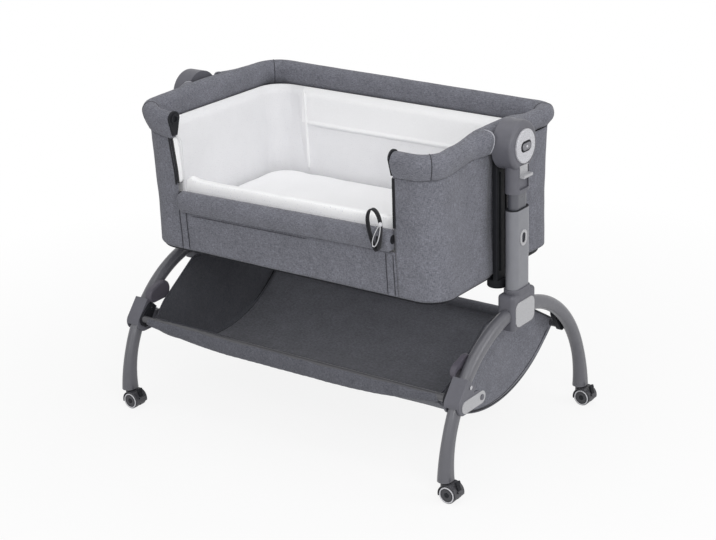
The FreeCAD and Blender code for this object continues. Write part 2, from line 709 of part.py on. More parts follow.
# ================================================================ cot body
def rim_tubes():
    rear = rim_quarter(tube_section, clamp_stop, 0, rim_z)
    front = rim_quarter(tube_section, clamp_stop, opening_half + fit, rim_z)
    front = front.mirror(V(0, 0, 0), AXIS_Y)
    return Part.makeCompound([fuse([rear, mirrored(rear)]), front, mirrored(front)])


def rim_clamp(grow):
    """Black head of the carrier and the clamp that grips the rim tubes' ends."""
    head = rod(V(bar_x - grow, 0, hub_z), AXIS_X, bar_half_y + grow, carrier_face_x - bar_x + grow)
    half = clamp_half + grow
    return head.fuse(rod(V(rim_x, -half, rim_z), AXIS_Y, clamp_radius + grow, 2 * half))


def carrier_bar(grow):
    half = bar_half_y + grow
    return block(bar_x - grow, bar_x + bar_thick, -half, half, cot_foot_z, hub_z)


def rim_sleeve_rear():
    half = rim_quarter(pad_section, soft_gap - sleeve_split, 0, rim_z)
    half = half.cut([rim_clamp(soft_gap), carrier_bar(soft_gap)])
    return fuse([half, mirrored(half)])


def rim_sleeve_front():
    sleeve = rim_quarter(pad_section, sleeve_split, opening_half + fit, rim_z)
    return sleeve.mirror(V(0, 0, 0), AXIS_Y).cut([rim_clamp(soft_gap), carrier_bar(soft_gap)])


def rail_socket():
    """Black end cap of a front stub, with the ring that takes the raised rail."""
    end = V(opening_half, -rim_y, rim_z)
    plate = padded_profile(end, AXIS_Y, pad_radius - 1, pad_drop - 1, pad_foot)
    plate = plate.extrude(V(-cap_thick, 0, 0))
    face = end - V(cap_thick + cap_ring, 0, 0)
    ring = rod(face, AXIS_X, rim_tube_radius + 1.5, cap_ring)
    return fuse([plate, ring]).cut(rod(face, AXIS_X, rim_tube_radius - 3, cap_ring + 1))


def hub_carrier():
    """Black carrier at the cot's end: pivot head, rim clamp, upright bar and foot."""
    pin = rod(V(carrier_face_x - 1, 0, hub_z), AXIS_X, pivot_radius, hub_inner_x + pivot_length - 1
              - carrier_face_x)
    bar = carrier_bar(0)
    grooves = [block(bar_x + bar_thick - 3, bar_x + bar_thick + 1, side * bar_half_y / 2 - 4,
                     side * bar_half_y / 2 + 4, cot_foot_z + 20, hub_z - bar_groove_top)
               for side in (-1, 1)]
    upright = [e for e in bar.Edges if abs(e.tangentAt(e.FirstParameter).z) > 0.9]
    bar = bar.makeFillet(3, upright)
    bar = bar.cut(grooves)
    foot = rod(V(shell_x_low, 0, cot_foot_z - cot_foot_high), AXIS_Z, cot_foot_radius, cot_foot_high)
    low = [e for e in foot.Edges if e.BoundBox.ZMax < cot_foot_z - cot_foot_high + 0.01
           and e.BoundBox.XLength > 1]
    body = fuse([rim_clamp(0), pin, bar, foot.makeFillet(3, low)])
    for side in (-1, 1):
        body = body.cut(rod(V(rim_x, side * (clamp_stop - fit), rim_z), AXIS_Y * side,
                            rim_tube_radius + fit, clamp_half))
    return body


def shell_form(inset, z0, z1):
    """Tapering cot body between two heights, inset from the outer fabric."""
    def at(z):
        share = (z - shell_bottom) / (shell_top - shell_bottom)
        mix = lambda low, top: low + (top - low) * share
        return rounded_rectangle(mix(shell_x_low, shell_x_top) - inset,
                                 mix(shell_y_low, shell_y_top) - inset,
                                 mix(shell_corner_low, shell_corner_top) - inset, z)
    return Part.makeLoft([at(z0), at(z1)], True, True)


def shell_wall():
    outer = shell_form(0, shell_bottom, shell_top)
    return outer.cut(shell_form(shell_thick, shell_bottom, shell_top))


def outer_cover():
    """Grey fabric body: back, both ends and the front corners."""
    wall = shell_wall()
    return wall.cut(block(-opening_half, opening_half, -far, -rim_y / 2, 0, far))


def front_panel():
    """Grey fabric panel below the lowered rail."""
    half = opening_half - soft_gap
    top = drop_z - roll_drop - soft_gap
    return shell_wall().common(block(-half, half, -far, -rim_y / 2, 0, top))


def lining():
    """White padded lining: high at the back, ends and corners, low across the opening."""
    outer = tray(lining_x, lining_y, lining_corner, lining_z, lining_top)
    inner = tray(lining_x - lining_thick, lining_y - lining_thick, lining_corner - lining_thick,
                 board_z, lining_top + 1)
    wall = outer.cut(inner)
    wall = wall.cut(block(-opening_half, opening_half, -far, -rim_y / 2, low_wall_top, far))
    bolster = block(-drop_half, drop_half, roll_back_y, roll_back_y + bolster_thick,
                    low_wall_top - 12, bolster_top)
    crest = [e for e in bolster.Edges if e.BoundBox.ZMin > bolster_top - 0.01 and e.BoundBox.XLength > 10]
    return fuse([wall, bolster.makeFillet(5, crest)])


def bottom_frame():
    ring = rim_quarter(lambda o, w: round_section(o, w, loop_radius).cut(
        round_section(o, w, loop_radius - tube_wall)), 0, 0, loop_z, loop_x, loop_y, loop_corner)
    half = fuse([ring, mirrored(ring)])
    return fuse([half, half.mirror(V(0, 0, 0), AXIS_Y)])


def floor_board():
    return tray(lining_x, lining_y, lining_corner, board_z, board_z + board_thick)


def mattress():
    inset = lining_thick + mattress_gap
    pad = tray(lining_x - inset, lining_y - inset, lining_corner - inset, mattress_z,
               mattress_z + mattress_thick)
    rims = [e for e in pad.Edges if e.BoundBox.ZLength < 0.01]
    return pad.makeFillet(6, rims)


# ================================================================ lowered bedside rail
def drop_rail():
    start = V(-drop_half, -rim_y, drop_z)
    tube = rod(start, AXIS_X, rim_tube_radius, 2 * drop_half)
    tube = tube.cut(rod(start - V(1, 0, 0), AXIS_X, rim_tube_radius - tube_wall, 2 * drop_half + 2))
    pieces = [tube]
    for side in (-1, 1):
        end = V(side * drop_half, -rim_y, drop_z)
        plug = rod(end, AXIS_X * side, rim_tube_radius, 3)
        spigot = rod(end - AXIS_X * (side * 18), AXIS_X * side,
                     rim_tube_radius - tube_wall - fit, 18.5)
        pieces.append(fuse([plug, spigot]))
    return Part.makeCompound(pieces)


def drop_padding():
    """Padded roll round the rail."""
    section = pad_section(V(-drop_half, -rim_y, drop_z), AXIS_Y, roll_drop)
    return section.extrude(V(2 * drop_half, 0, 0))


def strap_loop():
    """Webbing pull loop with a wire hook, stitched to the front of the rail padding."""
    middle = V(strap_x, roll_front_y, strap_loop_mid)
    outer = oval_face(middle, AXIS_Z, AXIS_X, 2 * strap_loop_z, 2 * strap_loop_x)
    inner = oval_face(middle, AXIS_Z, AXIS_X, 2 * (strap_loop_z - strap_thick),
                      2 * (strap_loop_x - strap_thick))
    webbing = outer.cut(inner).extrude(V(0, -strap_width, 0))
    tail = block(strap_x - strap_width / 2, strap_x + strap_width / 2, roll_front_y - strap_thick,
                 roll_front_y, drop_z - 12, strap_loop_mid - strap_loop_z + 1)
    low = V(strap_x, roll_front_y - strap_thick - fit - strap_hook_radius, drop_z - 6)
    hook = Part.makeTorus(8, strap_hook_radius, low, AXIS_Y)
    return Part.makeCompound([fuse([webbing, tail]), hook])


# ================================================================ storage basket
def basket_rails():
    pieces = []
    for y, z in ((front_rail_y, front_rail_z), (rear_rail_y, rear_rail_z)):
        start = V(-rail_half, y, z)
        bar = rod(start, AXIS_X, rail_radius, 2 * rail_half)
        pieces.append(bar.cut(rod(start - V(1, 0, 0), AXIS_X, rail_radius - tube_wall,
                                  2 * rail_half + 2)))
    return Part.makeCompound(pieces)


def basket_pad():
    """Padded grey sleeve round the front rail."""
    centre = V(-basket_x, front_rail_y, basket_pad_z0)
    face = oval_face(centre, AXIS_Z, AXIS_Y, basket_pad_z, basket_pad_y)
    hole = rod(V(-basket_x - 1, front_rail_y, front_rail_z), AXIS_X, rail_radius + soft_gap,
               2 * basket_x + 2)
    return face.extrude(V(2 * basket_x, 0, 0)).cut(hole)


def basket_section(x, inset):
    """Hammock section: a hanging arc closed over the top by the end panel's edge."""
    front_y = front_rail_y + basket_pad_y / 2 + soft_gap
    front = V(x, front_y + inset, front_rail_z - basket_dip)
    low = V(x, basket_low_y, basket_low_z + inset)
    rear = V(x, rear_rail_y + 7 - inset, rear_rail_z - 7)
    top = [V(x, rear_rail_y + 7 - inset, rear_rail_z + 7),
           V(x, basket_crown_y, basket_crown_z), V(x, -basket_crown_y, basket_crown_z),
           V(x, front_y + inset, front_rail_z - 4)]
    edges = [Part.Arc(front, low, rear).toShape(), Part.LineSegment(rear, top[0]).toShape()]
    edges += [Part.LineSegment(a, b).toShape() for a, b in zip(top, top[1:])]
    edges.append(Part.LineSegment(top[-1], front).toShape())
    return Part.Face(Part.Wire(edges))


def storage_basket():
    """Sling with half-moon end panels."""
    body = basket_section(-basket_x, 0).extrude(V(2 * basket_x, 0, 0))
    hollow = basket_section(-basket_x + basket_thick, basket_thick).extrude(
        V(2 * (basket_x - basket_thick), 0, 0))
    lid = block(-basket_x + basket_thick, basket_x - basket_thick, -far, far,
                rear_rail_z + rail_radius + soft_gap, far)
    start = V(-basket_x, rear_rail_y, rear_rail_z)
    hem = rod(start, AXIS_X, rail_radius + soft_gap + hem_thick, 2 * basket_x)
    rail_room = rod(start, AXIS_X, rail_radius + soft_gap, 2 * basket_x)
    return fuse([body.cut(hollow).cut(lid), hem]).cut(rail_room)


def front_lug(grow=0):
    """Black plate that ties the front basket rail to the bracket."""
    return link(lug_face_x - lug_thick - grow, lug_face_x + grow,
                front_rail_y + lug_lean / 4, front_rail_z - lug_drop, lug_radius + grow,
                front_rail_y + lug_lean, front_rail_z + lug_rise, lug_tip + grow)


def rear_lug():
    """Black plate from the rear basket rail up to the inner face of the arch."""
    x1 = frame_x - arch_width / 2 - fit
    turn = math.radians(rear_lug_angle)
    return link(lug_face_x - lug_thick, x1, rear_rail_y, rear_rail_z, lug_tip,
                arch_radius * math.cos(turn), leg_bottom + arch_radius * math.sin(turn), lug_tip)


def basket_lugs():
    return Part.makeCompound([front_lug(), rear_lug()])


# ================================================================ assembly
def build():
    parts = {
        "arch_right": arch(), "base_housing_right": base_housing(),
        "outer_post_right": outer_post(), "leg_bracket_right": leg_bracket(),
        "front_leg_right": front_leg(), "leg_button_right": leg_button(),
        "inner_post_right": inner_post(), "hub_housing_right": hub_housing(),
        "hub_disc_right": hub_disc(), "hub_button_right": hub_button(),
        "height_lever_right": height_lever(), "hub_carrier_right": hub_carrier(),
        "rim_sleeve_front_right": rim_sleeve_front(),
    }
    for name in list(parts):
        parts[name.replace("right", "left")] = mirrored(parts[name])
    parts["hub_housing_left"] = opened_hub_housing()
    pairs = {"base_plates": base_plate(), "post_windows": post_window(), "post_bushes": post_bush(),
             "bracket_plates": bracket_plate(), "bracket_covers": bracket_cover(),
             "bracket_pins": bracket_pins(), "basket_lugs": basket_lugs(),
             "rail_sockets": rail_socket()}
    parts.update({name: both_ends(shape) for name, shape in pairs.items()})
    parts.update({
        "rim_tubes": rim_tubes(), "rim_sleeve_rear": rim_sleeve_rear(), "outer_cover": outer_cover(),
        "front_panel": front_panel(), "lining": lining(), "bottom_frame": bottom_frame(),
        "floor_board": floor_board(), "mattress": mattress(), "drop_rail": drop_rail(),
        "drop_padding": drop_padding(), "strap_loop": strap_loop(), "basket_rails": basket_rails(),
        "basket_pad": basket_pad(), "storage_basket": storage_basket()})
    for end, side in (("right", 0), ("left", -2 * frame_x)):
        for row, y in (("front", -foot_y), ("rear", foot_y)):
            for kind, maker in (("body", castor_body), ("wheels", castor_wheels),
                                ("brake", castor_brake)):
                piece = maker(y)
                piece.translate(V(side, 0, 0))
                parts["castor_%s_%s_%s" % (kind, row, end)] = piece
    return parts


def reach_middle(parts):
    """Middle of the whole length, so that the origin sits under it."""
    boxes = [shape.optimalBoundingBox(False, False) for shape in parts.values()]
    return (min(b.XMin for b in boxes) + max(b.XMax for b in boxes)) / 2


model = build()
centre_shift = -reach_middle(model)
os.makedirs("parts", exist_ok=True)
for node, shape in model.items():
    shape.translate(V(centre_shift, 0, 0))
    shape.exportStep("parts/%s.step" % node)
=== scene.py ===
import math

import bmesh
import bpy
from mathutils import Matrix, Vector, noise


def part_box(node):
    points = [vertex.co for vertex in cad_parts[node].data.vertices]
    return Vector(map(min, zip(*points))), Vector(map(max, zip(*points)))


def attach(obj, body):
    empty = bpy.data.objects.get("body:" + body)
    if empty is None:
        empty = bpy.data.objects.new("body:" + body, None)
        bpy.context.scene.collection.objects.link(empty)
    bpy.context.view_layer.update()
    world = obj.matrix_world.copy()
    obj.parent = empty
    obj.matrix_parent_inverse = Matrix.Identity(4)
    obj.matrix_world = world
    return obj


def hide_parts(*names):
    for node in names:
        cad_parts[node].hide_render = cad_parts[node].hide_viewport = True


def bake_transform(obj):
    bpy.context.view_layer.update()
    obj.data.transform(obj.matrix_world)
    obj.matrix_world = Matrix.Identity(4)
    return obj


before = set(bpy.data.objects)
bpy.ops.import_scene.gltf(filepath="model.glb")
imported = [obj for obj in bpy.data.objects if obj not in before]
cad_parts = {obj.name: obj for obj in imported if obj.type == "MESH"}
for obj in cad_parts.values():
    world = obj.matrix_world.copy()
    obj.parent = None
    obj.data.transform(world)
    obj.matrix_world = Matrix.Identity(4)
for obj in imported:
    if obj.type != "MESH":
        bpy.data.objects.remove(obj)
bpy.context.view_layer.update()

# Sizes below are millimetres in the object's own frame: +X along the cot to the right-hand end,
# -Y the open bedside, +Z up. place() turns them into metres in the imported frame.
cover_low, cover_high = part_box("outer_cover")
SHIFT = (cover_low.x + cover_high.x) / 2

SIDES = ((1, "right"), (-1, "left"))


def box_mm(node):
    """Lowest and highest corner of a CAD node in this script's millimetres."""
    return [(corner.x * 1000 - SHIFT * 1000, corner.y * 1000, corner.z * 1000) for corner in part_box(node)]


RIM_X, RIM_Y, RIM_CORNER = 376.0, 229.0, 47.0      # rim tube in plan: half length, half width, corner
TUBE_RADIUS = 9.5
RIM_Z = box_mm("rim_tubes")[1][2] - TUBE_RADIUS
HUB_Z = RIM_Z - 11.0                 # centre of the hub drums
SEAM_Z = box_mm("rim_sleeve_rear")[0][2]           # between the padded sleeve and the cover
HEM_Z = cover_low.z * 1000
OPEN = 287.0                         # half width of the bedside opening
RAIL_Z = RIM_Z - 171.0               # axis of the lowered rail
PAD_Z, BED_Z = (corner[2] for corner in box_mm("mattress"))
LINING_Z = box_mm("lining")[0][2]


def place(x, y, z):
    """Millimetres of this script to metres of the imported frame."""
    return Vector((x / 1000 + SHIFT, y / 1000, z / 1000))


def mix(a, b, share):
    return a + (b - a) * share


def smooth(share):
    """Eased step from 0 to 1."""
    share = min(1.0, max(0.0, share))
    return share * share * (3 - 2 * share)


def bump(value, middle, width):
    """Bell of height 1 round the middle."""
    return math.exp(-((value - middle) / width) ** 2)


def between(stops, value):
    """Reads a row of (place, reading) pairs along straight lines."""
    for (a, low), (b, high) in zip(stops, stops[1:]):
        if value <= b:
            return mix(low, high, max(0.0, (value - a) / (b - a)))
    return stops[-1][1]


def steps(start, end, pitch):
    """Evenly spaced values from start to end, about a pitch apart."""
    count = max(2, int(round(abs(end - start) / pitch)) + 1)
    return [mix(start, end, k / (count - 1)) for k in range(count)]


def turns(count):
    """Angles of evenly spaced points round a circle."""
    return [2 * math.pi * k / count for k in range(count)]


def wave_noise(x, y, z, size, seed=0.0):
    """Seeded waves from -1 to 1, about as long as the size."""
    return noise.noise(Vector((x / size + seed, y / size - seed, z / size + 2 * seed)))


# ---------------- materials
def srgb(*color):
    """Screen levels from 0 to 255 as linear colour."""
    return tuple(c / 12.92 / 255 if c <= 10 else ((c / 255 + 0.055) / 1.055) ** 2.4 for c in color)


class Nodes:
    """Short calls for a tree of shader nodes."""

    def __init__(self, tree):
        self.tree = tree

    def node(self, kind, links=(), values=(), **settings):
        made = self.tree.nodes.new(kind)
        for key, value in settings.items():
            setattr(made, key, value)
        for key, value in dict(values).items():
            made.inputs[key].default_value = value
        for key, source in dict(links).items():
            self.tree.links.new(source, made.inputs[key])
        return made

    def math(self, operation, a, b):
        made = self.node("ShaderNodeMath", operation=operation)
        for index, value in enumerate((a, b)):
            if isinstance(value, (int, float)):
                made.inputs[index].default_value = value
            else:
                self.tree.links.new(value, made.inputs[index])
        return made.outputs[0]

    def looked_at(self):
        """1 for what the camera sees, straight or by reflection or through something, and else 0."""
        path = self.node("ShaderNodeLightPath").outputs
        straight = self.math("MAXIMUM", path["Is Camera Ray"], path["Is Glossy Ray"])
        return self.math("MAXIMUM", straight, path["Is Transmission Ray"])

    def show(self, output, share, first, second):
        """Shows the first shader at share 0 and the second at 1."""
        blend = self.node("ShaderNodeMixShader", {"Fac": share, 1: first, 2: second})
        self.tree.links.new(blend.outputs[0], self.tree.nodes[output].inputs["Surface"])


class Graph(Nodes):
    """A material and its nodes. Texture places are metres on the resting part."""

    def __init__(self, name, color, rough, metal=0.0, specular=0.4, sheen=0.0, coat=0.0):
        self.material = bpy.data.materials.new(name)
        self.material.use_nodes = True
        self.material.diffuse_color = (*color, 1)
        super().__init__(self.material.node_tree)
        self.shader = self.tree.nodes["Principled BSDF"]
        for key, value in (("Base Color", (*color, 1)), ("Roughness", rough), ("Metallic", metal),
                           ("Specular IOR Level", specular), ("Sheen Weight", sheen),
                           ("Coat Weight", coat)):
            self.shader.inputs[key].default_value = value
        self.coords = self.tree.nodes.new("ShaderNodeTexCoord").outputs["Object"]

    def spread(self, stretch, turn=(0, 0, 0)):
        return self.node("ShaderNodeMapping", {"Vector": self.coords},
                         {"Scale": stretch, "Rotation": turn}).outputs[0]

    def speckle(self, scale, detail=2.0, stretch=None, rough=0.5):
        vector = self.coords if stretch is None else self.spread(stretch)
        return self.node("ShaderNodeTexNoise", {"Vector": vector},
                         {"Scale": scale, "Detail": detail, "Roughness": rough}).outputs["Fac"]

    def threads(self, pitch, direction, turn=(0, 0, 0)):
        return self.node("ShaderNodeTexWave", {"Vector": self.spread((1, 1, 1), turn)},
                         {"Scale": math.pi / 10 / pitch}, bands_direction=direction).outputs["Fac"]

    def cells(self, size):
        return self.node("ShaderNodeTexVoronoi", {"Vector": self.coords}, {"Scale": 1 / size},
                         feature="DISTANCE_TO_EDGE").outputs["Distance"]

    def ramp(self, source, stops):
        made = self.node("ShaderNodeValToRGB", {"Fac": source})
        first, last = made.color_ramp.elements
        (first.position, a), (last.position, b) = stops
        first.color, last.color = (*a, 1), (*b, 1)
        return made.outputs["Color"]

    def tint(self, color, source, amount):
        """Darkens and lightens a colour by up to amount as source goes from 0 to 1."""
        grey = self.ramp(source, ((0.25, (1 - amount,) * 3), (0.75, (1 + amount,) * 3)))
        made = self.node("ShaderNodeMix", data_type="RGBA", blend_type="MULTIPLY")
        made.inputs["Factor"].default_value = 1.0
        self.tree.links.new(color, made.inputs["A"])
        self.tree.links.new(grey, made.inputs["B"])
        return made.outputs["Result"]

    def shades(self, source, color, low, high, stops=(0.3, 0.7)):
        """The colour from a low to a high share of itself as source passes the two stops."""
        return self.ramp(source, [(stop, tuple(share * c for c in color))
                                  for stop, share in zip(stops, (low, high))])

    def cross(self, pitch):
        """Threads both ways."""
        return self.math("MULTIPLY", self.threads(pitch, "X", (0, 0, math.pi / 4)), self.threads(pitch, "Z"))

    def color(self, source):
        self.tree.links.new(source, self.shader.inputs["Base Color"])

    def rough(self, source, low, high):
        made = self.node("ShaderNodeMapRange", {"Value": source},
                         {"From Min": 0.3, "From Max": 0.7, "To Min": low, "To Max": high})
        self.tree.links.new(made.outputs[0], self.shader.inputs["Roughness"])

    def relief(self, height, depth, strength):
        made = self.node("ShaderNodeBump", {"Height": height}, {"Distance": depth, "Strength": strength})
        self.tree.links.new(made.outputs[0], self.shader.inputs["Normal"])


def heather(name, dark, light, weave=0.0010):
    """Woven melange cloth: two yarn shades streaked both ways over a fine weave."""
    g = Graph(name, tuple(mix(a, b, 0.5) for a, b in zip(dark, light)), 0.92, sheen=0.12, specular=0.15)
    down = g.speckle(1050, 3.0, (1, 1, 0.16), 0.6)
    across = g.speckle(1050, 3.0, (0.16, 0.16, 1), 0.6)
    yarn = g.math("MULTIPLY", g.math("ADD", down, across), 0.5)
    shade = g.ramp(yarn, ((0.38, dark), (0.62, light)))
    clouds = g.math("MULTIPLY", g.speckle(24, 3.0), 0.55)
    streaks = g.math("MULTIPLY", g.speckle(170, 3.0, (1, 1, 0.4)), 0.45)
    g.color(g.tint(shade, g.math("ADD", clouds, streaks), 0.16))
    g.relief(g.math("ADD", g.cross(weave), g.math("MULTIPLY", yarn, 0.8)), 0.00025, 0.6)
    return g.material


def air_mesh(name, light, dark, cell):
    """White spacer mesh with a honeycomb of small holes, each cell darkened towards its middle as painted
    shade inside the hole.
    """
    g = Graph(name, light, 0.85, sheen=0.05, specular=0.2)
    wall = g.cells(cell)
    # painted shade: each honeycomb cell is darker towards its middle, standing for the shade inside its hole
    g.color(g.tint(g.ramp(wall, ((0.25, light), (0.55, dark))), g.speckle(18, 3.0), 0.02))
    g.relief(g.math("MINIMUM", wall, 0.5), 0.0012, 0.5)
    return g.material


def white_cloth(name, color, crinkle=0.0008):
    """Smooth white cloth, a little crinkled."""
    g = Graph(name, color, 0.9, sheen=0.06, specular=0.2)
    g.color(g.tint(g.shades(g.speckle(300, 2.0), color, 0.975, 1.0), g.speckle(9, 4.0), 0.015))
    g.relief(g.math("ADD", g.math("MULTIPLY", g.cross(0.0009), 0.15), g.speckle(38, 3.0)), crinkle, 0.35)
    return g.material


def moulded(name, color, rough, specular=0.4):
    """Moulded plastic with a fine spark-eroded grain, lighter on sharp edges as a painted highlight and
    darker in creases and corners as painted shade.
    """
    g = Graph(name, color, rough, specular=specular)
    # painted highlight and shade: pointiness lightens the convex edges and darkens creases and corners
    edge = g.node("ShaderNodeNewGeometry").outputs["Pointiness"]
    g.color(g.tint(g.shades(g.speckle(70, 5.0), color, 0.95, 1.05), edge, 0.25))
    g.rough(g.speckle(120, 4.0), rough - 0.06, rough + 0.08)
    g.relief(g.speckle(2400, 2.0), 0.00006, 0.7)
    return g.material


def powder_coat(name, color, rough=0.42):
    """Satin powder coat on steel: fine orange peel and faint handling marks."""
    g = Graph(name, color, rough, specular=0.5, coat=0.3)
    g.shader.inputs["Coat Roughness"].default_value = 0.18
    g.color(g.shades(g.speckle(45, 6.0), color, 0.96, 1.04))
    g.rough(g.speckle(200, 5.0), rough - 0.07, rough + 0.07)
    g.relief(g.speckle(900, 3.0), 0.00008, 0.6)
    return g.material


def bright(name, color, rough, metal, grain=0.00002, scale=3000):
    """Bright plastic or bare metal, stippled as finely as the scale says."""
    g = Graph(name, color, rough, metal=metal, specular=0.5)
    g.color(g.shades(g.speckle(scale, 3.0), color, 0.72, 1.0, (0.4, 0.6)))
    g.rough(g.speckle(180, 4.0), rough - 0.06, rough + 0.06)
    g.relief(g.speckle(scale, 2.0), grain, 0.8)
    return g.material


def webbing(name, color, pitch=0.0016):
    """Ribbed tape, thread or piping."""
    g = Graph(name, color, 0.8, sheen=0.1, specular=0.25)
    rib = g.cross(pitch)
    g.color(g.shades(rib, color, 0.7, 1.35, (0.0, 1.0)))
    g.relief(rib, 0.0003, 0.8)
    return g.material


LOOKS = {
    "heather": heather("grey_heather", srgb(87, 88, 95), srgb(133, 134, 143)),
    "heather_dark": heather("grey_heather_binding", srgb(52, 52, 58), srgb(84, 85, 92)),
    "heather_front": heather("grey_heather_rail", srgb(70, 71, 77), srgb(112, 113, 121)),
    "charcoal": heather("basket_inside", srgb(96, 97, 103), srgb(122, 123, 130), weave=0.0013),
    # painted shade: a darker copy of the basket's inner cloth for the inside of the half-moon ends
    "charcoal_shaded_end": heather("basket_end_inside_painted_shade", srgb(70, 71, 77), srgb(90, 91, 97), weave=0.0013),
    "lining": air_mesh("lining_spacer_mesh", srgb(234, 234, 236), srgb(222, 222, 226), 0.0040),
    "lining_plain": white_cloth("lining_cloth", srgb(246, 246, 247)),
    "mesh": air_mesh("window_mesh", srgb(254, 254, 255), srgb(224, 224, 231), 0.0048),
    "mattress": white_cloth("mattress_cover", srgb(248, 248, 249), 0.0010),
    "paint": powder_coat("frame_paint", srgb(90, 90, 96)),
    "post": powder_coat("post_paint", srgb(118, 119, 125), 0.38),
    "inner_post": powder_coat("inner_post_paint", srgb(78, 79, 86), 0.34),
    "plastic": moulded("grey_plastic", srgb(92, 92, 99), 0.46),
    "cover": moulded("cover_plastic", srgb(80, 77, 86), 0.5),
    "black": moulded("black_plastic", srgb(30, 31, 35), 0.6, specular=0.2),
    "button": bright("button_grey", srgb(128, 128, 134), 0.25, 0.3),
    "wheel": moulded("wheel_plastic", srgb(62, 62, 66), 0.45),
    "wheel_ring": moulded("wheel_ring", srgb(196, 196, 200), 0.4),
    "hood": moulded("castor_plastic", srgb(62, 62, 66), 0.42),
    "silver": bright("silver_plate", srgb(186, 186, 189), 0.36, 0.1, scale=900),
    "stipple": bright("stippled_disc", srgb(204, 204, 209), 0.42, 0.1, 0.0006, 420),
    "steel": bright("bright_steel", srgb(205, 205, 208), 0.25, 1.0),
    "tube": powder_coat("dark_tube", srgb(70, 70, 74)),
    "web": webbing("black_webbing", srgb(34, 34, 38)),
    "web_grey": webbing("grey_webbing", srgb(72, 72, 78)),
    "thread": webbing("grey_thread", srgb(58, 58, 64), 0.0006),
    "piping": webbing("light_piping", srgb(186, 187, 194), 0.0012),
    "board": white_cloth("floor_board_cover", srgb(236, 236, 238)),
}


# ---------------- mesh helpers
def add_object(name, data):
    made = bpy.data.objects.new(name, data)
    bpy.context.scene.collection.objects.link(made)
    return made


def finish_mesh(name, verts, faces, body, materials, groups=None):
    """A piece from points in mm, riding its body; groups give each face's material."""
    mesh = bpy.data.meshes.new(name)
    mesh.from_pydata([place(*v) for v in verts], [], faces)
    for key in materials:
        mesh.materials.append(LOOKS[key])
    if groups:
        mesh.polygons.foreach_set("material_index", groups)
    mesh.polygons.foreach_set("use_smooth", [True] * len(mesh.polygons))
    work = bmesh.new()
    work.from_mesh(mesh)
    bmesh.ops.recalc_face_normals(work, faces=work.faces)
    work.to_mesh(mesh)
    work.free()
    made = add_object(name, mesh)
    if body:
        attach(made, body)
    return made


def grid_faces(rows, columns, wrap_rows=False, wrap_columns=False):
    """Four-sided faces over a grid of points, closed round either way if asked."""
    faces = []
    for i in range(rows if wrap_rows else rows - 1):
        for j in range(columns if wrap_columns else columns - 1):
            i2, j2 = (i + 1) % rows, (j + 1) % columns
            faces.append((i * columns + j, i * columns + j2, i2 * columns + j2, i2 * columns + j))
    return faces


def end_caps(rows, columns):
    """The faces that close the first and the last row."""
    return [tuple(range(columns)), tuple((rows - 1) * columns + j for j in range(columns))]


def grid_piece(name, rows, body, material, wrap_rows=False, wrap_columns=False, capped=False):
    """A piece of one material from rows of points, all of the same length."""
    size = len(rows), len(rows[0])
    faces = grid_faces(*size, wrap_rows, wrap_columns) + (end_caps(*size) if capped else [])
    return finish_mesh(name, [tuple(p) for row in rows for p in row], faces, body, [material])


def rod(name, rows, body, material):
    """A closed piece whose rows are rings, with both ends capped."""
    return grid_piece(name, rows, body, material, wrap_columns=True, capped=True)


def dense_ends(half, ends, inner, pitch):
    """Places from -half to half, evenly apart inside and at the given distances from both ends."""
    return [d - half for d in ends] + steps(inner - half, half - inner, pitch) + [
        half - d for d in reversed(ends)]


def apply_modifiers(made):
    """Swaps the mesh for what its modifiers make of it."""
    bpy.context.view_layer.update()
    graph = bpy.context.evaluated_depsgraph_get()
    mesh = bpy.data.meshes.new_from_object(made.evaluated_get(graph), depsgraph=graph)
    made.modifiers.clear()
    made.data = mesh
    mesh.polygons.foreach_set("use_smooth", [True] * len(mesh.polygons))


def thicken(made, thickness, offset=-1.0):
    """Gives a sheet its thickness in mm: to one side at -1, to the other at 1, to both at 0."""
    solid = made.modifiers.new("thickness", "SOLIDIFY")
    solid.thickness = thickness / 1000
    solid.offset = offset
    apply_modifiers(made)


def directions(points, closed):
    """Each point of a line with its direction there."""
    points = [Vector(p) for p in points]
    count = len(points)
    for i, point in enumerate(points):
        ahead = points[(i + 1) % count] if closed or i + 1 < count else point
        behind = points[i - 1] if closed or i else point
        yield point, (ahead - behind).normalized()


def tube(name, points, radius, body, material, closed=False, flat=1.0):
    """Round or flattened trim along a list of points in mm, pinched at open ends."""
    rows, normal = [], None
    for i, (point, along) in enumerate(directions(points, closed)):
        if normal is None:
            normal = along.orthogonal().normalized()
        normal = (normal - along * normal.dot(along)).normalized()
        side = along.cross(normal)
        size = radius
        if not closed and i in (0, len(points) - 1):
            size = radius * 0.4
        rows.append([point + normal * (size * math.cos(t)) + side * (size * flat * math.sin(t))
                     for t in turns(8)])
    return grid_piece(name, rows, body, material, wrap_rows=closed, wrap_columns=True,
                      capped=not closed)


SWELL_FRAMES = 20


def swell(made, pressure, voxel, cap, shrink, pinned):
    """Blows a closed form up like a stuffed pad, by at most cap mm, and less where pinned is above 0."""
    for name, kind in (("in", "DISPLACE"), ("even", "REMESH")):
        made.modifiers.new(name, kind)
    made.modifiers["in"].strength = -shrink / 1000
    made.modifiers["in"].mid_level = 0.0
    made.modifiers["even"].mode = "VOXEL"
    made.modifiers["even"].voxel_size = voxel / 1000
    apply_modifiers(made)
    start = [v.co.copy() for v in made.data.vertices]
    cloth = made.modifiers.new("cloth", "CLOTH")
    cloth.settings.use_pressure = True
    cloth.settings.uniform_pressure_force = pressure
    cloth.settings.effector_weights.gravity = 0
    cloth.settings.quality = 4
    cloth.point_cache.frame_start, cloth.point_cache.frame_end = 1, SWELL_FRAMES
    scene = bpy.context.scene
    for step in range(1, SWELL_FRAMES + 1):
        scene.frame_set(step)
    apply_modifiers(made)
    scene.frame_set(1)
    for vertex, was in zip(made.data.vertices, start):
        move = vertex.co - was
        if move.length > cap / 1000:
            vertex.co = was + move.normalized() * (cap / 1000)
        vertex.co = mix(vertex.co, was, pinned(was))
    made.modifiers.new("soft", "SUBSURF").levels = 1
    apply_modifiers(made)


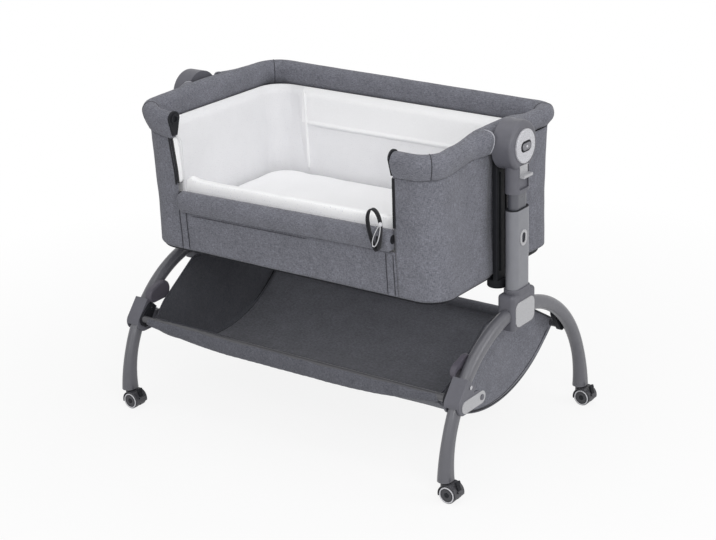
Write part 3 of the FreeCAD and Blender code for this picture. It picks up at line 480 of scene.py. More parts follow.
def track(half_x, half_y, corner):
    """Rounded rectangle in plan, run from the middle of the +X end towards +Y.

    The function it gives reads a length along it as x, y and the outward direction there.
    """
    a, b, q = half_y - corner, half_x - corner, corner * math.pi / 2
    runs = (a, q, 2 * b, q, 2 * a, q, 2 * b, q, a)

    def at(s):
        s %= sum(runs)
        x, y, heading = half_x, 0.0, math.pi / 2
        for index, run in enumerate(runs):
            step = min(s, run)
            if index % 2 == 0:
                x += math.cos(heading) * step
                y += math.sin(heading) * step
            else:
                cx, cy = x - corner * math.sin(heading), y + corner * math.cos(heading)
                heading += step / corner
                x, y = cx + corner * math.sin(heading), cy - corner * math.cos(heading)
            s -= step
            if s <= 0:
                break
        return x, y, math.sin(heading), -math.cos(heading)

    at.length = sum(runs)
    at.front = a + 3 * q + 2 * b + 2 * a      # where the front side starts, at X = -b
    at.half = b
    return at


# ---------------- moulded and metal nodes
FINISH = {
    "arch_": "paint", "front_leg_": "paint", "outer_post_": "post", "inner_post_": "inner_post",
    "base_housing_": "plastic", "leg_bracket_": "plastic", "hub_housing_": "plastic",
    "bracket_covers": "cover", "base_plates": "silver", "bracket_plates": "silver",
    "hub_disc_": "stipple", "hub_button_": "button", "height_lever_": "silver",
    "leg_button_": "plastic", "post_windows": "silver", "post_bushes": "black",
    "bracket_pins": "steel", "hub_carrier_": "black", "rail_sockets": "black",
    "basket_lugs": "black", "basket_rails": "tube", "bottom_frame": "black", "floor_board": "board",
    "rim_tubes": "tube", "drop_rail": "black", "castor_body_": "hood", "castor_wheels_": "wheel",
    "castor_brake_": "black",
}
for node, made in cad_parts.items():
    for start, key in FINISH.items():
        if node.startswith(start):
            made.data.materials.clear()
            made.data.materials.append(LOOKS[key])


# ---------------- padded rim sleeves
RIM_TRACK = track(RIM_X, RIM_Y, RIM_CORNER)
HALF_ROUND = RIM_TRACK.length / 2
DROP = RIM_Z - SEAM_Z                # of the seam below the rim tube's axis
SLEEVE_RADIUS = 18.0
HUB_EDGE, HUB_SEAM = 52.4, 53.2      # along Y, between them the sleeve spreads out beside a hub drum


def sleeve_section(drop, radius=SLEEVE_RADIUS, foot=7.0):
    """Section (outward, up): from the outer foot over the tube to the inner foot, and back below."""
    side = [(foot + (radius - foot) * math.sin(k / 11 * math.pi / 2) ** 1.1, -drop * (1 - k / 11))
            for k in range(11)]
    over = [(radius * math.cos(k * math.pi / 18), radius * math.sin(k * math.pi / 18))
            for k in range(19)]
    back = [(-out, up) for out, up in reversed(side)]
    under = [(mix(-foot, foot, k / 4), -drop + 1.5 * math.sin(k / 4 * math.pi)) for k in (1, 2, 3)]
    return side + over + back + under


def hub_flare(x, y):
    """The sleeve spreads outwards where it meets the hub drums, 0 to 1."""
    if abs(x) < 300:
        return 0.0
    return smooth((abs(y) - HUB_EDGE) / (HUB_SEAM - HUB_EDGE)) * (1 - smooth((abs(y) - 54) / 46))


def rim_rise(x, y):
    """The bulky padding stands a little higher towards the left end, and sags at its two free ends."""
    rise = mix(8.0, -2.0, (x + RIM_X) / (2 * RIM_X)) + (5.0 * bump(y, -10, 110) if x < -300 else 0.0)
    stub = mix(8.0, -3.0, smooth((x + RIM_X) / 80)) if x < 0 else -4.5
    by_hub = 11.0 * smooth((abs(x) - 360) / 10) * (1 - smooth((abs(y) - 50) / 90)) if x > 0 else 0.0
    return mix(rise, stub, smooth((-y - 150) / 50)) + by_hub


def seam_rise(x, y):
    """How far the seam between sleeve and cover runs above its lowest line."""
    if y > 0:
        rise = mix(8.0, 3.0, (x + RIM_X) / (2 * RIM_X)) + 8.0 * smooth((x - 250) / 110)
    else:
        rise = 8.0 if x < 0 else 11.0
    if x < 0:
        stub = mix(8.0, -5.0, smooth((x + RIM_X) / 80))
        return mix(rise, stub, smooth((-y - 150) / 50))
    return mix(rise, -3.0 * smooth((RIM_X - x) / 80), smooth((-y - 70) / 130))


def sleeve_place(s, out, up):
    """Point of the padded sleeve at s along the rim, with its lumps and the gathers at its seam."""
    x, y, nx, ny = RIM_TRACK(s)
    z = RIM_Z + mix(seam_rise(x, y), rim_rise(x, y), smooth((up + DROP) / DROP))
    rear_right = smooth((x - 320) / 40) * smooth((y - 160) / 50)
    wobble = 0.9 * wave_noise(x, y, up, 60, 3) + 0.35 * wave_noise(x, y, up, 17, 9)
    gather = smooth(-up / DROP) * 0.55 * math.sin(s / 2.6 + 3 * wave_noise(x, y, 0, 35))
    grow = 1 + (wobble + gather) / SLEEVE_RADIUS
    out = out * grow + (15.0 * hub_flare(x, y) + 7.0 * rear_right) * smooth((out + 2) / 14)
    return x + nx * out, y + ny * out, z + up * (1 + 0.5 * wobble / SLEEVE_RADIUS)


def tombstone(x0, x1, half, low, top):
    """Round-topped upright form across the cot's end, to cut the sleeve round the carrier."""
    side = [(half * math.cos(k * math.pi / 24), top + half * math.sin(k * math.pi / 24))
            for k in range(25)] + [(-half, low), (half, low)]
    count = len(side)
    verts = [(x, y, z) for x in (x0, x1) for y, z in side]
    faces = grid_faces(2, count, False, True) + end_caps(2, count)
    return finish_mesh("cutter", verts, faces, None, [])


def cut_away(made, cutter):
    """Cuts the cutter's form out of a piece and removes the cutter."""
    made.modifiers.new("cut", "BOOLEAN").object = cutter
    made.modifiers["cut"].solver = "EXACT"
    apply_modifiers(made)
    bpy.data.objects.remove(cutter)


# one sleeve from stub to stub, pulled over the hubs' inner side; its rows stand close beside the hubs,
# and STUB is where it starts, beside the opening
STUB = RIM_TRACK.front + OPEN + 0.3 + RIM_TRACK.half - RIM_TRACK.length
section = sleeve_section(DROP)
start, end = STUB, HALF_ROUND - STUB
stops = steps(start + 3, end - 3, 5.0)
stops += [middle + side * d for middle in (0, HALF_ROUND) for side in (-1, 1)
          for d in (51.8, 52.3, 52.7, 53.1, 53.6)]
stops = [(s, 1.0) for s in sorted(stops)]
for d, size in ((1.2, 0.985), (0.4, 0.93), (0.0, 0.80)):      # rounds both ends off
    stops.insert(0, (start + d, size))
    stops.append((end - d, size))
rows = [[sleeve_place(s, out * size, (up + DROP * 0.3) * size - DROP * 0.3) for out, up in section]
        for s, size in stops]
rim_sleeve = rod("rim_sleeve", rows, "crib", "heather")
for side in (-1, 1):
    cut_away(rim_sleeve, tombstone(side * 383.4, side * 425.0, 22.6, HUB_Z - 76.0, HUB_Z))
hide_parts("rim_sleeve_rear", "rim_sleeve_front_right", "rim_sleeve_front_left")

open_section = section[:-3]          # without its underside
first_corner = RIM_Y - RIM_CORNER + RIM_CORNER * math.pi / 4
corner_places = (first_corner, HALF_ROUND - first_corner, HALF_ROUND + first_corner, -first_corner)
for number, s in enumerate(corner_places):
    line = [sleeve_place(s, out * 1.005, up) for out, up in open_section]
    tube("sleeve_seam_%d" % number, line, 0.9, "crib", "thread")
for number, s in enumerate((-HUB_SEAM, HUB_SEAM, HALF_ROUND - HUB_SEAM, HALF_ROUND + HUB_SEAM)):
    line = [sleeve_place(s, out * 1.02, up * 1.01) for out, up in open_section[1:20]]
    tube("sleeve_piping_%d" % number, line, 1.3, "crib", "piping")


# ---------------- outer cover and front panel
BODY = track(382.0, 228.0, 57.0)
FRONT_S = BODY.front + BODY.half


def edge_x(z, side):
    """Edge of the bedside opening: the cloth leans in towards the rail and out again below it."""
    if side > 0:
        return between(((HEM_Z, 284.0), (488.0, 281.6), (549.0, 281.4), (SEAM_Z, 285.0)), z)
    return between(((HEM_Z, -289.0), (488.0, -286.0), (569.0, -288.0), (SEAM_Z, -296.0)), z)


def shell_place(s, z, extra):
    """Point of the outer cover at s along its track, pushed out by the frame and slack between."""
    x, y, nx, ny = BODY(s)
    share = (z - HEM_Z) / (SEAM_Z - HEM_Z)
    belly = math.sin(math.pi * min(1.0, max(0.0, share)))
    out = abs(nx) * mix(1, -1, share) + abs(ny) * mix(-7, 6, share)
    out -= belly ** 1.5 * (1.5 + 5.0 * abs(nx) * bump(y, 0, 150))
    out += abs(nx) * 7.5 * (smooth((abs(y) - 23) / 16) - smooth((abs(y) - 50) / 75)) * (0.4 + 0.6 * share)
    out += belly * (1.6 * wave_noise(x, y, z, 110, 1) + 0.7 * wave_noise(x, y, z, 40, 5))
    near_top = bump(z, SEAM_Z, 16)
    out += near_top * 0.6 * math.sin(s / 4.1 + 2 * wave_noise(x, y, 0, 40))
    out += 7.0 * smooth((x - 290) / 60) * smooth((y - 60) / 100)
    hem_lift = 9.0 * smooth((x - 270) / 80) * smooth((y + 150) / 250) + 6.0 * smooth((-x - 320) / 60)
    lift = seam_rise(x, y) * smooth(share) + hem_lift * (1 - share)
    return x + nx * (out + extra), y + ny * (out + extra), z + lift


def cover_row(z, inset=0.0):
    start = FRONT_S + edge_x(z, 1) + 0.3
    end = FRONT_S + edge_x(z, -1) - 0.3 + BODY.length
    return [shell_place(mix(start, end, share), z, -inset) for share in steps(0, 1, 1 / 260)]


HEM_TURN = ((2.4, 9.0), (2.2, 2.0), (1.1, 0.2))     # inset and height of the rows turned in at a hem
cover_rows = [cover_row(HEM_Z + up, inset) for inset, up in HEM_TURN]
cover_rows += [cover_row(z) for z in steps(HEM_Z, SEAM_Z - 0.4, 7.0)]
cover = grid_piece("cot_cover", cover_rows, "crib", "heather")
thicken(cover, 1.0)
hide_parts("outer_cover")

PANEL_TOP = box_mm("front_panel")[1][2]


def front_y(z):
    """The bedside face leans out from hem to seam."""
    return -mix(221, 234, (z - HEM_Z) / (SEAM_Z - HEM_Z))


def front_place(x, z, extra):
    y = front_y(z) + 1.2 * wave_noise(x, 0, z, 90, 2) + 0.5 * wave_noise(x, 0, z, 30, 7)
    return x, y - extra, z


def panel_row(z, inset=0.0):
    low_x, high_x = edge_x(z, -1) + 0.3, edge_x(z, 1) - 0.3
    return [front_place(mix(low_x, high_x, share), z, -inset) for share in steps(0, 1, 1 / 82)]


panel_rows = [panel_row(HEM_Z + up, inset) for inset, up in HEM_TURN]
panel_rows += [panel_row(z) for z in steps(HEM_Z, PANEL_TOP - 1.0, 6.0)]
panel = grid_piece("front_cloth", panel_rows, "crib", "heather")
thicken(panel, 1.0)
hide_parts("front_panel")

for side, label in SIDES:
    low_x, high_x = (259.0, 277.0) if side > 0 else (-289.0, -270.0)
    strip = [[front_place(x, z, 1.4 if 0 < k < 6 else 0.3) for k, x in enumerate(steps(low_x, high_x, 3.0))]
             for z in steps(HEM_Z + 1, PANEL_TOP - 4, 6.0)]
    grid_piece("placket_" + label, strip, "crib", "heather")
    for edge, x in enumerate((low_x, high_x)):
        line = [front_place(x, z, 1.1) for z in steps(HEM_Z + 2, PANEL_TOP - 5, 6.0)]
        tube("placket_seam_%s_%d" % (label, edge), line, 0.8, "crib", "thread")
# painted shadow: a thin grey line across the front panel stands for the shadow of a soft fold there
line = [front_place(x, PANEL_TOP - 12 + 4 * x / 270, 0.7) for x in steps(-256, 60, 8.0)]
tube("panel_fold_shadow", line, 0.6, "crib", "web_grey")


# ---------------- lining
LINE_TRACK = track(355.0, 208.0, 51.0)
LINE_FRONT = LINE_TRACK.front + LINE_TRACK.half
RIDGE_Z = 576.0                      # seam across the back, plain cloth above it and mesh below


def lining_place(s, z):
    """Point of the lining: seamed and ridged at the back, folded in its corners, flared at its top."""
    x, y, nx, ny = LINE_TRACK(s)
    share = (z - BED_Z) / (SEAM_Z - BED_Z)
    inward = 1.5 * math.sin(math.pi * min(1.0, max(0.0, share)))
    if y > 150:
        tall = smooth((z - BED_Z) / 20)
        seam_x = 270 + 0.12 * (z - 560)
        for middle in (-seam_x, seam_x):
            inward += 3.0 * tall * bump(x, middle, 5.0) * smooth(ny)
        if abs(x) < 262:
            inside = smooth((262 - abs(x)) / 14)
            inward += (2.5 * smooth((z - RIDGE_Z + 3) / 3) + 3.0 * bump(z, RIDGE_Z + 1.5, 3.5)) * inside
    fold = bump(math.hypot(abs(x) - 318, y - 175), 0, 80)
    inward += fold * 3.0 * wave_noise(s, z * 0.2, 0, 24, 4) * smooth(share * 2)
    inward += 1.2 * wave_noise(x, y, z, 85, 6)
    top = smooth((z - (SEAM_Z - 16)) / 18)
    out = 9.0 * top - inward * (1 - top)
    return x + nx * out, y + ny * out, z


def lining_lifted(s, z):
    x, y, z = lining_place(s, z)
    return x, y, z + seam_rise(x, y) * smooth((z - RIDGE_Z) / (SEAM_Z - RIDGE_Z))


places = steps(LINE_FRONT + OPEN + 2, LINE_FRONT - OPEN - 2 + LINE_TRACK.length, 5.0)
heights = steps(LINING_Z, RIDGE_Z - 8, 3.5) + steps(RIDGE_Z - 6, RIDGE_Z + 9, 1.5)
heights += steps(RIDGE_Z + 12, SEAM_Z + 2.5, 3.5)
rows = [[lining_lifted(s, z) for s in places] for z in heights]
groups = []
for z in heights[:-1]:
    for s in places[:-1]:
        x, y, _, _ = LINE_TRACK(s)
        groups.append(1 if z > RIDGE_Z and y > 150 and abs(x) < 268 else 0)
wall = finish_mesh("lining_wall", [p for row in rows for p in row], grid_faces(len(rows), len(rows[0])),
                   "crib", ["lining", "lining_plain"], groups)
thicken(wall, 4.0)
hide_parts("lining")
for side, label in SIDES:
    line = [(side * mix(258, 264, (z - BED_Z) / 200), 202.0 + 1.0 * wave_noise(0, 0, z, 40, 5), z)
            for z in steps(BED_Z + 10, SEAM_Z + 2, 6.0)]
    tube("lining_binding_" + label, line, 3.6, "crib", "lining_plain", flat=0.8)

# the wall's raw edge down each side of the opening: the zip's tape in front, white cloth behind
for side, label in SIDES:
    for part, slot, key, near, far in (("zip_base", "black_webbing", "web", 0.0, 0.35),
                                       ("wall_edge", "white_fabric", "lining_plain", 0.35, 1.0)):
        strip = []
        for z in steps(SEAM_Z - 3 - 5 * (side < 0), RAIL_Z + 26, 5.0):
            strip.append([(edge_x(z, side) + side * 0.6 * math.sin(math.pi * depth),
                           mix(front_y(z) + 0.5, -207.5, depth), z)
                          for depth in (mix(near, far, j / 3) for j in range(4))])
        thicken(grid_piece("%s_%s" % (part, label), strip, "crib", key), 0.8, offset=0.0)


def flap_section(x):
    """Section (y, z) of the low front wall with the folded mesh window over it, behind the rail."""
    end = smooth((OPEN - 8 - abs(x)) / 14)
    lift = 3.0 * x / 262 + 1.5 * wave_noise(x, 0, 0, 70, 3)
    crest = 541.0 + lift + 13 * end + 10 * bump(x, -280, 22)
    body = 2.2 * wave_noise(x, 40, 0, 45, 8)
    return [(-210.2, 487.0), (-210.4, 515.0), (-210.6, crest - 9), (-208.0, crest - 2.5), (-203.0, crest),
            (-197.0, crest - 2.0), (-190.0, crest - 8 + body), (-181.0, crest - 22 + body),
            (-172.0, crest - 42), (-166.0, crest - 60), (-166.0, BED_Z + 12), (-184.0, BED_Z - 1),
            (-196.0, BED_Z - 6), (-206.0, BED_Z + 10)]


flap_rows = [[(x, y, z) for y, z in flap_section(x)] for x in steps(5.0 - OPEN, OPEN - 5.0, 6.0)]
size = len(flap_rows), len(flap_rows[0])
groups = [0 if j < 3 else 1 for _ in flap_rows[:-1] for j in range(size[1])] + [0, 0]
flap = finish_mesh("mesh_window", [p for row in flap_rows for p in row],
                   grid_faces(*size, False, True) + end_caps(*size), None,
                   ["mesh", "lining_plain"], groups)
flap.modifiers.new("soft", "SUBSURF").levels = 2
apply_modifiers(flap)
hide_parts("lining")
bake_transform(flap)


# ---------------- mattress
pad_track = track(345.0, 198.0, 56.0)
pad_rows = []
for inset, z in ((30, 2), (8, 0.5), (2, 4), (0, 12), (0, 30), (2, 38), (8, 42), (30, 44.5)):
    pad_rows.append([(x - nx * inset, y - ny * inset, PAD_Z + z)
                     for x, y, nx, ny in (pad_track(s) for s in steps(0, pad_track.length * 0.996, 8.0))])
mattress = rod("mattress_pad", pad_rows, "crib", "mattress")
swell(mattress, pressure=3.0, voxel=6.5, cap=4.5, shrink=0.5,
      pinned=lambda co: smooth((PAD_Z / 1000 + 0.012 - co.z) / 0.008))
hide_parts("mattress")


# ---------------- lowered rail
ROLL = OPEN - 7.6                    # half length of the padded rail
ROLL_DROP = 27.5                     # of its seam below the rail's axis


def roll_tilt(x):
    return 4.5 * x / ROLL - 2.5


def roll_section(x):
    """Section of the padded rail at x, lumpy and gathered like the sleeve."""
    end = mix(0.84, 1.0, smooth((ROLL - abs(x)) / 9 + 0.2))
    section = []
    for out, up in sleeve_section(ROLL_DROP, 17.8, 8.5):
        wobble = 0.8 * wave_noise(x, out, up, 50, 12) + 0.35 * wave_noise(x, out, up, 16, 2)
        gather = 0.5 * smooth(-up / ROLL_DROP) * math.sin(x / 2.9 + 2 * wave_noise(x, 0, 0, 30, 1))
        grow = end * (1 + (wobble + gather) / SLEEVE_RADIUS)
        section.append((x, -RIM_Y - out * grow, RAIL_Z + roll_tilt(x) + up * end + (1 - end) * -5))
    return section


roll_rows = [roll_section(x) for x in dense_ends(ROLL, (0, 1, 3, 6), 9, 5.0)]
roll = rod("rail_roll", roll_rows, "drop_side", "heather")
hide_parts("drop_padding")
line = [(x, 15.5 - RIM_Y, RAIL_Z + roll_tilt(x) + 10.5) for x in steps(4 - ROLL, ROLL - 4, 9.0)]
tube("roll_piping", line, 1.3, "drop_side", "web_grey")


# ---------------- pull loop with its snap hook
LOOP_Y = -247.3                      # front of the padded rail
LOOP_X, LOOP_UP, LOOP_HALF = 253.5, 23.0, 43.0
BAND_WIDE, BAND_THICK = 11.0, 2.6
BAND_SECTION = ((-0.5, -0.46), (-0.3, -0.5), (0.3, -0.5), (0.5, -0.46), (0.5, 0.46), (0.3, 0.5),
                (-0.3, 0.5), (-0.5, 0.46))

ring = []
for t in turns(56):
    wide = mix(10.5, 18.5, smooth(0.5 + 0.5 * math.sin(t)))
    up = LOOP_HALF * math.sin(t)
    ring.append((LOOP_X - 0.093 * up + wide * math.cos(t), LOOP_Y - 6.4, RAIL_Z + LOOP_UP + up))
rows = []
for point, along in directions(ring, True):
    face = Vector((along.z, 0, -along.x))
    rows.append([point + face * (BAND_THICK * a) + Vector((0, BAND_WIDE * b, 0)) for a, b in BAND_SECTION])
pull_loop = grid_piece("pull_loop", rows, "drop_side", "web", wrap_rows=True,
                       wrap_columns=True)
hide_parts("strap_loop")

tail = [(258.0, LOOP_Y - 1.5 + 0.4 * (k % 2), RAIL_Z + 8 - 8.0 * k) for k in range(4)]
rows = [[(x - 6, y, z), (x - 5.6, y - 1.0, z), (x + 5.6, y - 1.0, z), (x + 6, y, z), (x + 5.6, y + 0.8, z),
         (x - 5.6, y + 0.8, z)] for x, y, z in tail]
pull_tail = rod("pull_tail", rows, "drop_side", "web")
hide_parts("strap_loop")

low_end = Vector((254.5, LOOP_Y - 13.6, RAIL_Z - 10))
high_end = Vector((271.0, LOOP_Y - 13.0, RAIL_Z + 36))
along = (high_end - low_end).normalized()
across = Vector((along.z, 0, -along.x))
hook = [mix(low_end, high_end, 0.5) + along * ((high_end - low_end).length / 2 * math.cos(t))
        + across * (4.6 * math.sin(t) * (1.25 - 0.35 * math.cos(t))) for t in turns(36)]
snap_hook = tube("snap_hook", hook, 1.35, "drop_side", "steel", closed=True)
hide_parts("strap_loop")
bead = [[high_end + along * h + (across * math.cos(t) + Vector((0, 1, 0)) * math.sin(t)) * r
         for t in turns(20)]
        for r, h in ((1.6, -1.5), (3.6, 0.2), (4.5, 3.0), (4.3, 5.0), (3.0, 7.0), (1.2, 7.8))]
hook_swivel = rod("hook_swivel", bead, "drop_side", "wheel_ring")
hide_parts("strap_loop")


# ---------------- zips down both edges of the opening
for side, label in SIDES:
    for part, (key, thick) in {"tape": ("web", 0.0), "teeth": ("black", 0.9)}.items():
        rows = []
        for z in steps(SEAM_Z - 4, RAIL_Z + 24, 4.0 if part == "tape" else 1.5):
            x = abs(edge_x(z, side))
            y = front_y(z) - 0.6
            width = (3.0 if side > 0 else 2.4) if part == "tape" else 1.2
            dent = 0.5 if part == "teeth" and len(rows) % 2 else 0.0
            rows.append([(side * (x + width + 0.3 + a * width), y - b - dent, z)
                         for a, b in ((-1, 0.1), (-0.9, 0.8 + thick), (0.9, 0.8 + thick), (1, 0.1))])
        rod("zip_%s_%s" % (part, label), rows, "crib", key)


# ---------------- storage basket
END_X = 387.0                        # of the half-moon ends
FRONT_EDGE, LOW_POINT, REAR_EDGE = (-228.4, 184.0), (-15.0, 97.6), (224.6, 199.0)      # (y, z)
TOP_SHARES = (0.0, 0.36, 0.42, 0.60, 0.66, 1.0)
TOP_Y = tuple(zip(TOP_SHARES, (-228.0, -74.0, -60.0, 60.0, 74.0, 222.0)))
TOP_Z = tuple(zip(TOP_SHARES, (199.0, 303.0, 305.0, 305.0, 302.0, 214.0)))


def circle_through(a, b, c):
    """Centre and radius of the circle through three points."""
    d = 2 * (a[0] * (b[1] - c[1]) + b[0] * (c[1] - a[1]) + c[0] * (a[1] - b[1]))
    sq = [p[0] ** 2 + p[1] ** 2 for p in (a, b, c)]
    y = (sq[0] * (b[1] - c[1]) + sq[1] * (c[1] - a[1]) + sq[2] * (a[1] - b[1])) / d
    z = (sq[0] * (c[0] - b[0]) + sq[1] * (a[0] - c[0]) + sq[2] * (b[0] - a[0])) / d
    return y, z, math.hypot(a[0] - y, a[1] - z)


ARC_Y, ARC_Z, ARC_R = circle_through(FRONT_EDGE, LOW_POINT, REAR_EDGE)
ARC_START = math.atan2(FRONT_EDGE[1] - ARC_Z, FRONT_EDGE[0] - ARC_Y)
ARC_END = math.atan2(REAR_EDGE[1] - ARC_Z, REAR_EDGE[0] - ARC_Y)
if ARC_START > 0:
    ARC_START -= 2 * math.pi


def sling_place(share, x, inset=0.0):
    """Point of the hanging cloth: share 0 at the front rail, 1 at the rear rail."""
    t = mix(ARC_START, ARC_END, share)
    hang = math.sin(math.pi * share) * (2.2 * math.cos(x / END_X * math.pi / 2)
                                        + 2.2 * wave_noise(x, share * 200, 0, 95, 21)
                                        + 0.9 * wave_noise(x, share * 200, 0, 33, 8))
    near_end = smooth((abs(x) - 340) / (END_X - 340))
    radius = ARC_R + hang * (1 - near_end) - 1.0 - inset
    return x, ARC_Y + radius * math.cos(t), ARC_Z + radius * math.sin(t)


def end_top(share):
    """Top edge of the half-moon end panel, from the front rail over the crown to the rear."""
    return between(TOP_Y, share), between(TOP_Z, share)


def end_lean(share):
    """How far the end panel's top edge leans out, most towards the front."""
    return 11.0 * smooth(share / 0.12) * (1 - smooth((share - 0.42) / 0.25))


def flat_size(outline):
    """Width and height in metres and area in square metres of a flat outline in millimetres."""
    wide, high = ([p[k] for p in outline] for k in (0, 1))
    twice = sum(a[0] * b[1] - b[0] * a[1] for a, b in zip(outline, outline[1:] + outline[:1]))
    return ((max(wide) - min(wide)) / 1000, (max(high) - min(high)) / 1000), abs(twice) / 2e6


shares = steps(0.0, 1.0, 0.02)
END_FLAT, END_AREA = flat_size([sling_place(share, END_X)[1:] for share in shares]
                               + [end_top(share) for share in reversed(shares)])
sling_rows = [[sling_place(share, x) for share in shares] for x in steps(-END_X + 3, END_X - 3, 9.0)]
sling = grid_piece("basket_sling", sling_rows, "base", "charcoal")
thicken(sling, 1.8, offset=1.0)
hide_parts("storage_basket")

# half-moon ends, grey outside with a dark band along the bottom, and their lining, which takes a darker
# painted-shade copy of the basket cloth
shares = steps(0.0, 1.0, 0.0125)
heights = [0.0, 0.012, 0.03, 0.05, 0.075] + steps(0.11, 1.0, 0.06)
faces = grid_faces(len(heights), len(shares))
groups = [int(up < mix(0.012, 0.075, smooth((share - 0.25) / 0.55)))
          for up in heights[:-1] for share in shares[:-1]]
for side, label in SIDES:
    verts = []
    for up in heights:
        for share in shares:
            y, z = (mix(a, b, up) for a, b in zip(sling_place(share, END_X)[1:], end_top(share)))
            rounding = -5.0 * (1 - smooth(up / 0.06)) ** 2
            soft = 3.0 * math.sin(math.pi * up) * wave_noise(y, z, 0, 70, 31 * side)
            verts.append((side * (END_X + rounding + min(0.6, soft) + up * end_lean(share)), y, z))
    end = finish_mesh("basket_end_" + label, verts, faces, "base",
                      ["heather", "charcoal"], groups)
    # the ends' inner cloth is darkened as painted shade
    inside = [((abs(x) - 2.6) * side, y, z) for x, y, z in verts]
    lining_cloth = finish_mesh("basket_end_lining_" + label, inside, faces, "base",
                               ["charcoal_shaded_end"])
    thicken(end, 1.2)
    thicken(lining_cloth, 0.9, offset=0.0)
    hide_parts("storage_basket")
    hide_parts("storage_basket")
    line = [(side * (END_X - 1.5 + end_lean(share)), *end_top(share)) for share in steps(0.0, 1.0, 0.01)]
    tube("basket_binding_" + label, line, 3.0, "base", "heather_dark", flat=0.8)
    line = []
    for share in steps(0.03, 0.97, 0.02):
        _, y, z = sling_place(share, END_X, 12 * smooth((share - 0.2) / 0.6))
        line.append((side * (END_X + 0.6), mix(y, -15, 0.012), mix(z, 200, 0.05)))
    tube("basket_end_seam_" + label, line, 0.7, "base", "thread")
    line = [(side * (END_X + 0.7), y, 262 - 0.16 * (y - 70) + 2 * wave_noise(y, 0, 0, 40, 2))
            for y in steps(40, 150, 8.0)]
    tube("basket_end_fold_" + label, line, 0.7, "base", "thread")
for side, label in SIDES:
    line = [sling_place(share, side * (END_X - 3.5), 3.0) for share in steps(0.03, 0.97, 0.02)]
    tube("sling_seam_" + label, line, 1.7, "base", "web")

# rear hem round its rail
REAR_Y, REAR_Z = 218.0, 206.0
hem_rows = []
for x in steps(-END_X + 4, END_X - 4, 8.0):
    row = []
    for k, t in enumerate(turns(24)):
        r = 10.4 + 0.5 * wave_noise(x, 8 * k, 0, 40, 6) + (1.5 if 14 < k < 20 else 0)
        row.append((x, REAR_Y + r * math.cos(t), REAR_Z + r * math.sin(t)))
    hem_rows.append(row)
rear_hem = grid_piece("basket_rear_hem", hem_rows, "base", "charcoal", wrap_columns=True)
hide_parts("storage_basket")

# padded front edge over its rail, gathered along its lower front
PAD_HALF, PAD_Y, PAD_TOP = END_X + 6, -240, 211


def flattened(value, power):
    """A sine or cosine flattened towards 1, to square a circle off."""
    return math.copysign(abs(value) ** power, value)


front_pad_rows = []
for x in dense_ends(PAD_HALF, (0, 1, 4), 8, 6.0):
    size = 0.8 + 0.2 * smooth((PAD_HALF - abs(x)) / 7)
    taper = math.sin(math.pi / 2 * min(1.0, (PAD_HALF - abs(x)) / 260))
    deep, tall = mix(9.8, 11.2, taper), mix(9.4, 20.0, taper)
    row = []
    for k, t in enumerate(turns(36)):
        gather = 0.012 * math.sin(x / 3.3) if 24 < k < 31 else 0
        lobe = (1 + 0.03 * wave_noise(x, 5 * k, 0, 45, 17) + gather) * size
        row.append((x, PAD_Y + deep * flattened(math.cos(t), 0.8) * lobe,
                    PAD_TOP - tall + tall * flattened(math.sin(t), 0.85) * lobe))
    front_pad_rows.append(row)
front_pad = rod("basket_front_pad", front_pad_rows, "base", "heather_front")
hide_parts("basket_pad")
line = [(x, -232.0, 209.0 + 0.5 * wave_noise(x, 0, 0, 50, 3)) for x in steps(-END_X + 6, END_X - 6, 9.0)]
tube("basket_pad_seam", line, 1.8, "base", "heather_dark")


# ---------------- black ring of painted shade round the hubs' buttons, and a light dot of painted highlight on each
for side, label in SIDES:
    outer = 1 if side > 0 else 0         # the box's corner that faces away from the cot
    button = box_mm("hub_button_" + label)
    (_, y0, z0), (_, y1, z1) = button
    y, z, half_y, half_z = (y0 + y1) / 2, (z0 + z1) / 2, (y1 - y0) / 2 + 1.2, (z1 - z0) / 2 + 1.2
    x = box_mm("hub_disc_" + label)[outer][0]
    # painted shade: a black ring round each button stands for the shade in the recess between button and
    # disc
    ring = [(x, y + (half_y - half_z) * math.copysign(1, math.cos(t)) + half_z * math.cos(t),
             z + half_z * math.sin(t)) for t in turns(48)]
    tube("button_recess_shade_" + label, ring, 1.5, "post_" + label, "black", closed=True)
    # painted highlight: a light grey dot on each button stands for the glint on its face
    dot = [[(button[outer][0] + side * h, y + r * math.cos(t), z + r * math.sin(t)) for t in turns(24)]
           for r, h in ((3.0, -0.2), (2.7, 0.5), (1.2, 0.9))]
    rod("button_painted_glint_" + label, dot, "hub_button_" + label, "wheel_ring")


# ---------------- castor trim
for node in [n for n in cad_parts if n.startswith("castor_wheels_")]:
    (x0, y0, z0), (x1, y1, z1) = box_mm(node)
    x, z = (x0 + x1) / 2, (z0 + z1) / 2
    for k, (y, out) in enumerate(((y0, -1), (y1, 1))):
        ring, *cap = [[(x + r * math.cos(t), y + out * h, z + r * math.sin(t)) for t in turns(count)]
                      for r, h, count in ((16.0, 0.1, 40), (6.0, -0.3, 32), (5.4, 0.7, 32), (3.0, 1.0, 32))]
        tube("%s_ring_%d" % (node, k), ring, 1.4, node, "wheel_ring", closed=True)
        rod("%s_cap_%d" % (node, k), cap, node, "black")


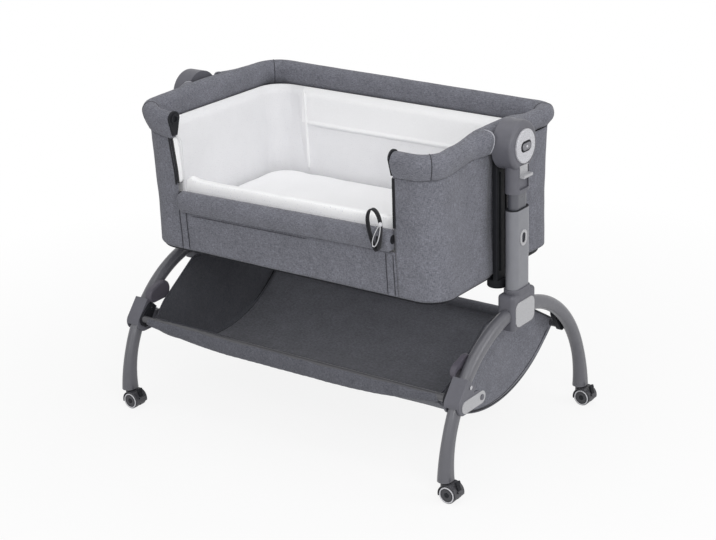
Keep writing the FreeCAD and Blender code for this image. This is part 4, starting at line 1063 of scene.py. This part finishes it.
# ---------------- floor, light and camera
FLOOR = 30.0                         # metres from the middle to its edge
FLOOR_SHADE = 0.13                   # share of the white that its own shading takes under the object
floor_mesh = bpy.data.meshes.new("floor")
corners = [(x * FLOOR, y * FLOOR, 0) for x, y in ((-1, -1), (1, -1), (1, 1), (-1, 1))]
floor_mesh.from_pydata(corners, [], [(0, 1, 2, 3)])
floor = add_object("floor", floor_mesh)
g = Graph("pale_floor", (0.82, 0.82, 0.82), 0.9, specular=0.1)
glow = g.node("ShaderNodeEmission", values={"Color": (1, 1, 1, 1), "Strength": 1.0})
spot = g.node("ShaderNodeTexGradient", {"Vector": g.spread((0.62, 0.62, 0.62))},
              gradient_type="SPHERICAL").outputs["Fac"]
under = g.math("MINIMUM", g.math("MULTIPLY", spot, 1.6), 1.0)
away = g.math("SUBTRACT", 1.0, g.math("MULTIPLY", under, FLOOR_SHADE))
g.show("Material Output", g.math("MULTIPLY", away, g.looked_at()), g.shader.outputs[0], glow.outputs[0])
floor_mesh.materials.append(g.material)

world = bpy.data.worlds.new("studio")
bpy.context.scene.world = world
world.use_nodes = True
sky = Nodes(world.node_tree)
lit, white = (sky.node("ShaderNodeBackground", values={"Color": (1, 1, 1, 1), "Strength": strength})
              for strength in (0.40, 1.0))
sky.show("World Output", sky.looked_at(), lit.outputs[0], white.outputs[0])

for name, power, size, where in (("key", 44, 1.6, (2.3, -2.2, 2.1)), ("front", 14, 2.2, (-0.4, -3.0, 1.6)),
                                 ("right", 24, 1.6, (3.2, 0.8, 1.5)), ("top", 22, 2.2, (0.2, -0.1, 3.1))):
    lamp = bpy.data.lights.new(name, "AREA")
    lamp.energy = power
    lamp.size = size
    holder = add_object(name, lamp)
    holder.location = where
    holder.rotation_mode = "QUATERNION"
    holder.rotation_quaternion = (Vector((0, 0, 0.4)) - Vector(where)).to_track_quat("-Z", "Y")

# the camera that was fitted to the photo
AZIMUTH, ELEVATION, TILT = (math.radians(angle) for angle in (36.33, 20.34, -1.84))
FOCAL, PHOTO_WIDTH = 1752.47, 716    # pixels
DISTANCE = 3.87281                   # metres
SENSOR = 36.0
back = Vector((math.sin(AZIMUTH) * math.cos(ELEVATION), -math.cos(AZIMUTH) * math.cos(ELEVATION),
               math.sin(ELEVATION)))
level = Vector((math.cos(AZIMUTH), math.sin(AZIMUTH), 0))
upright = back.cross(level)
right = level * math.cos(TILT) + upright * math.sin(TILT)
up = upright * math.cos(TILT) - level * math.sin(TILT)
lens = bpy.data.cameras.new("camera")
lens.sensor_fit, lens.sensor_width = "HORIZONTAL", SENSOR
lens.lens = SENSOR * FOCAL / PHOTO_WIDTH
camera = add_object("camera", lens)
camera.matrix_world = Matrix((right, up, back)).transposed().to_4x4()
camera.location = place(22.65, 0, 328.55) + back * DISTANCE
bpy.context.scene.camera = camera
bpy.context.scene.view_settings.view_transform = "Standard"
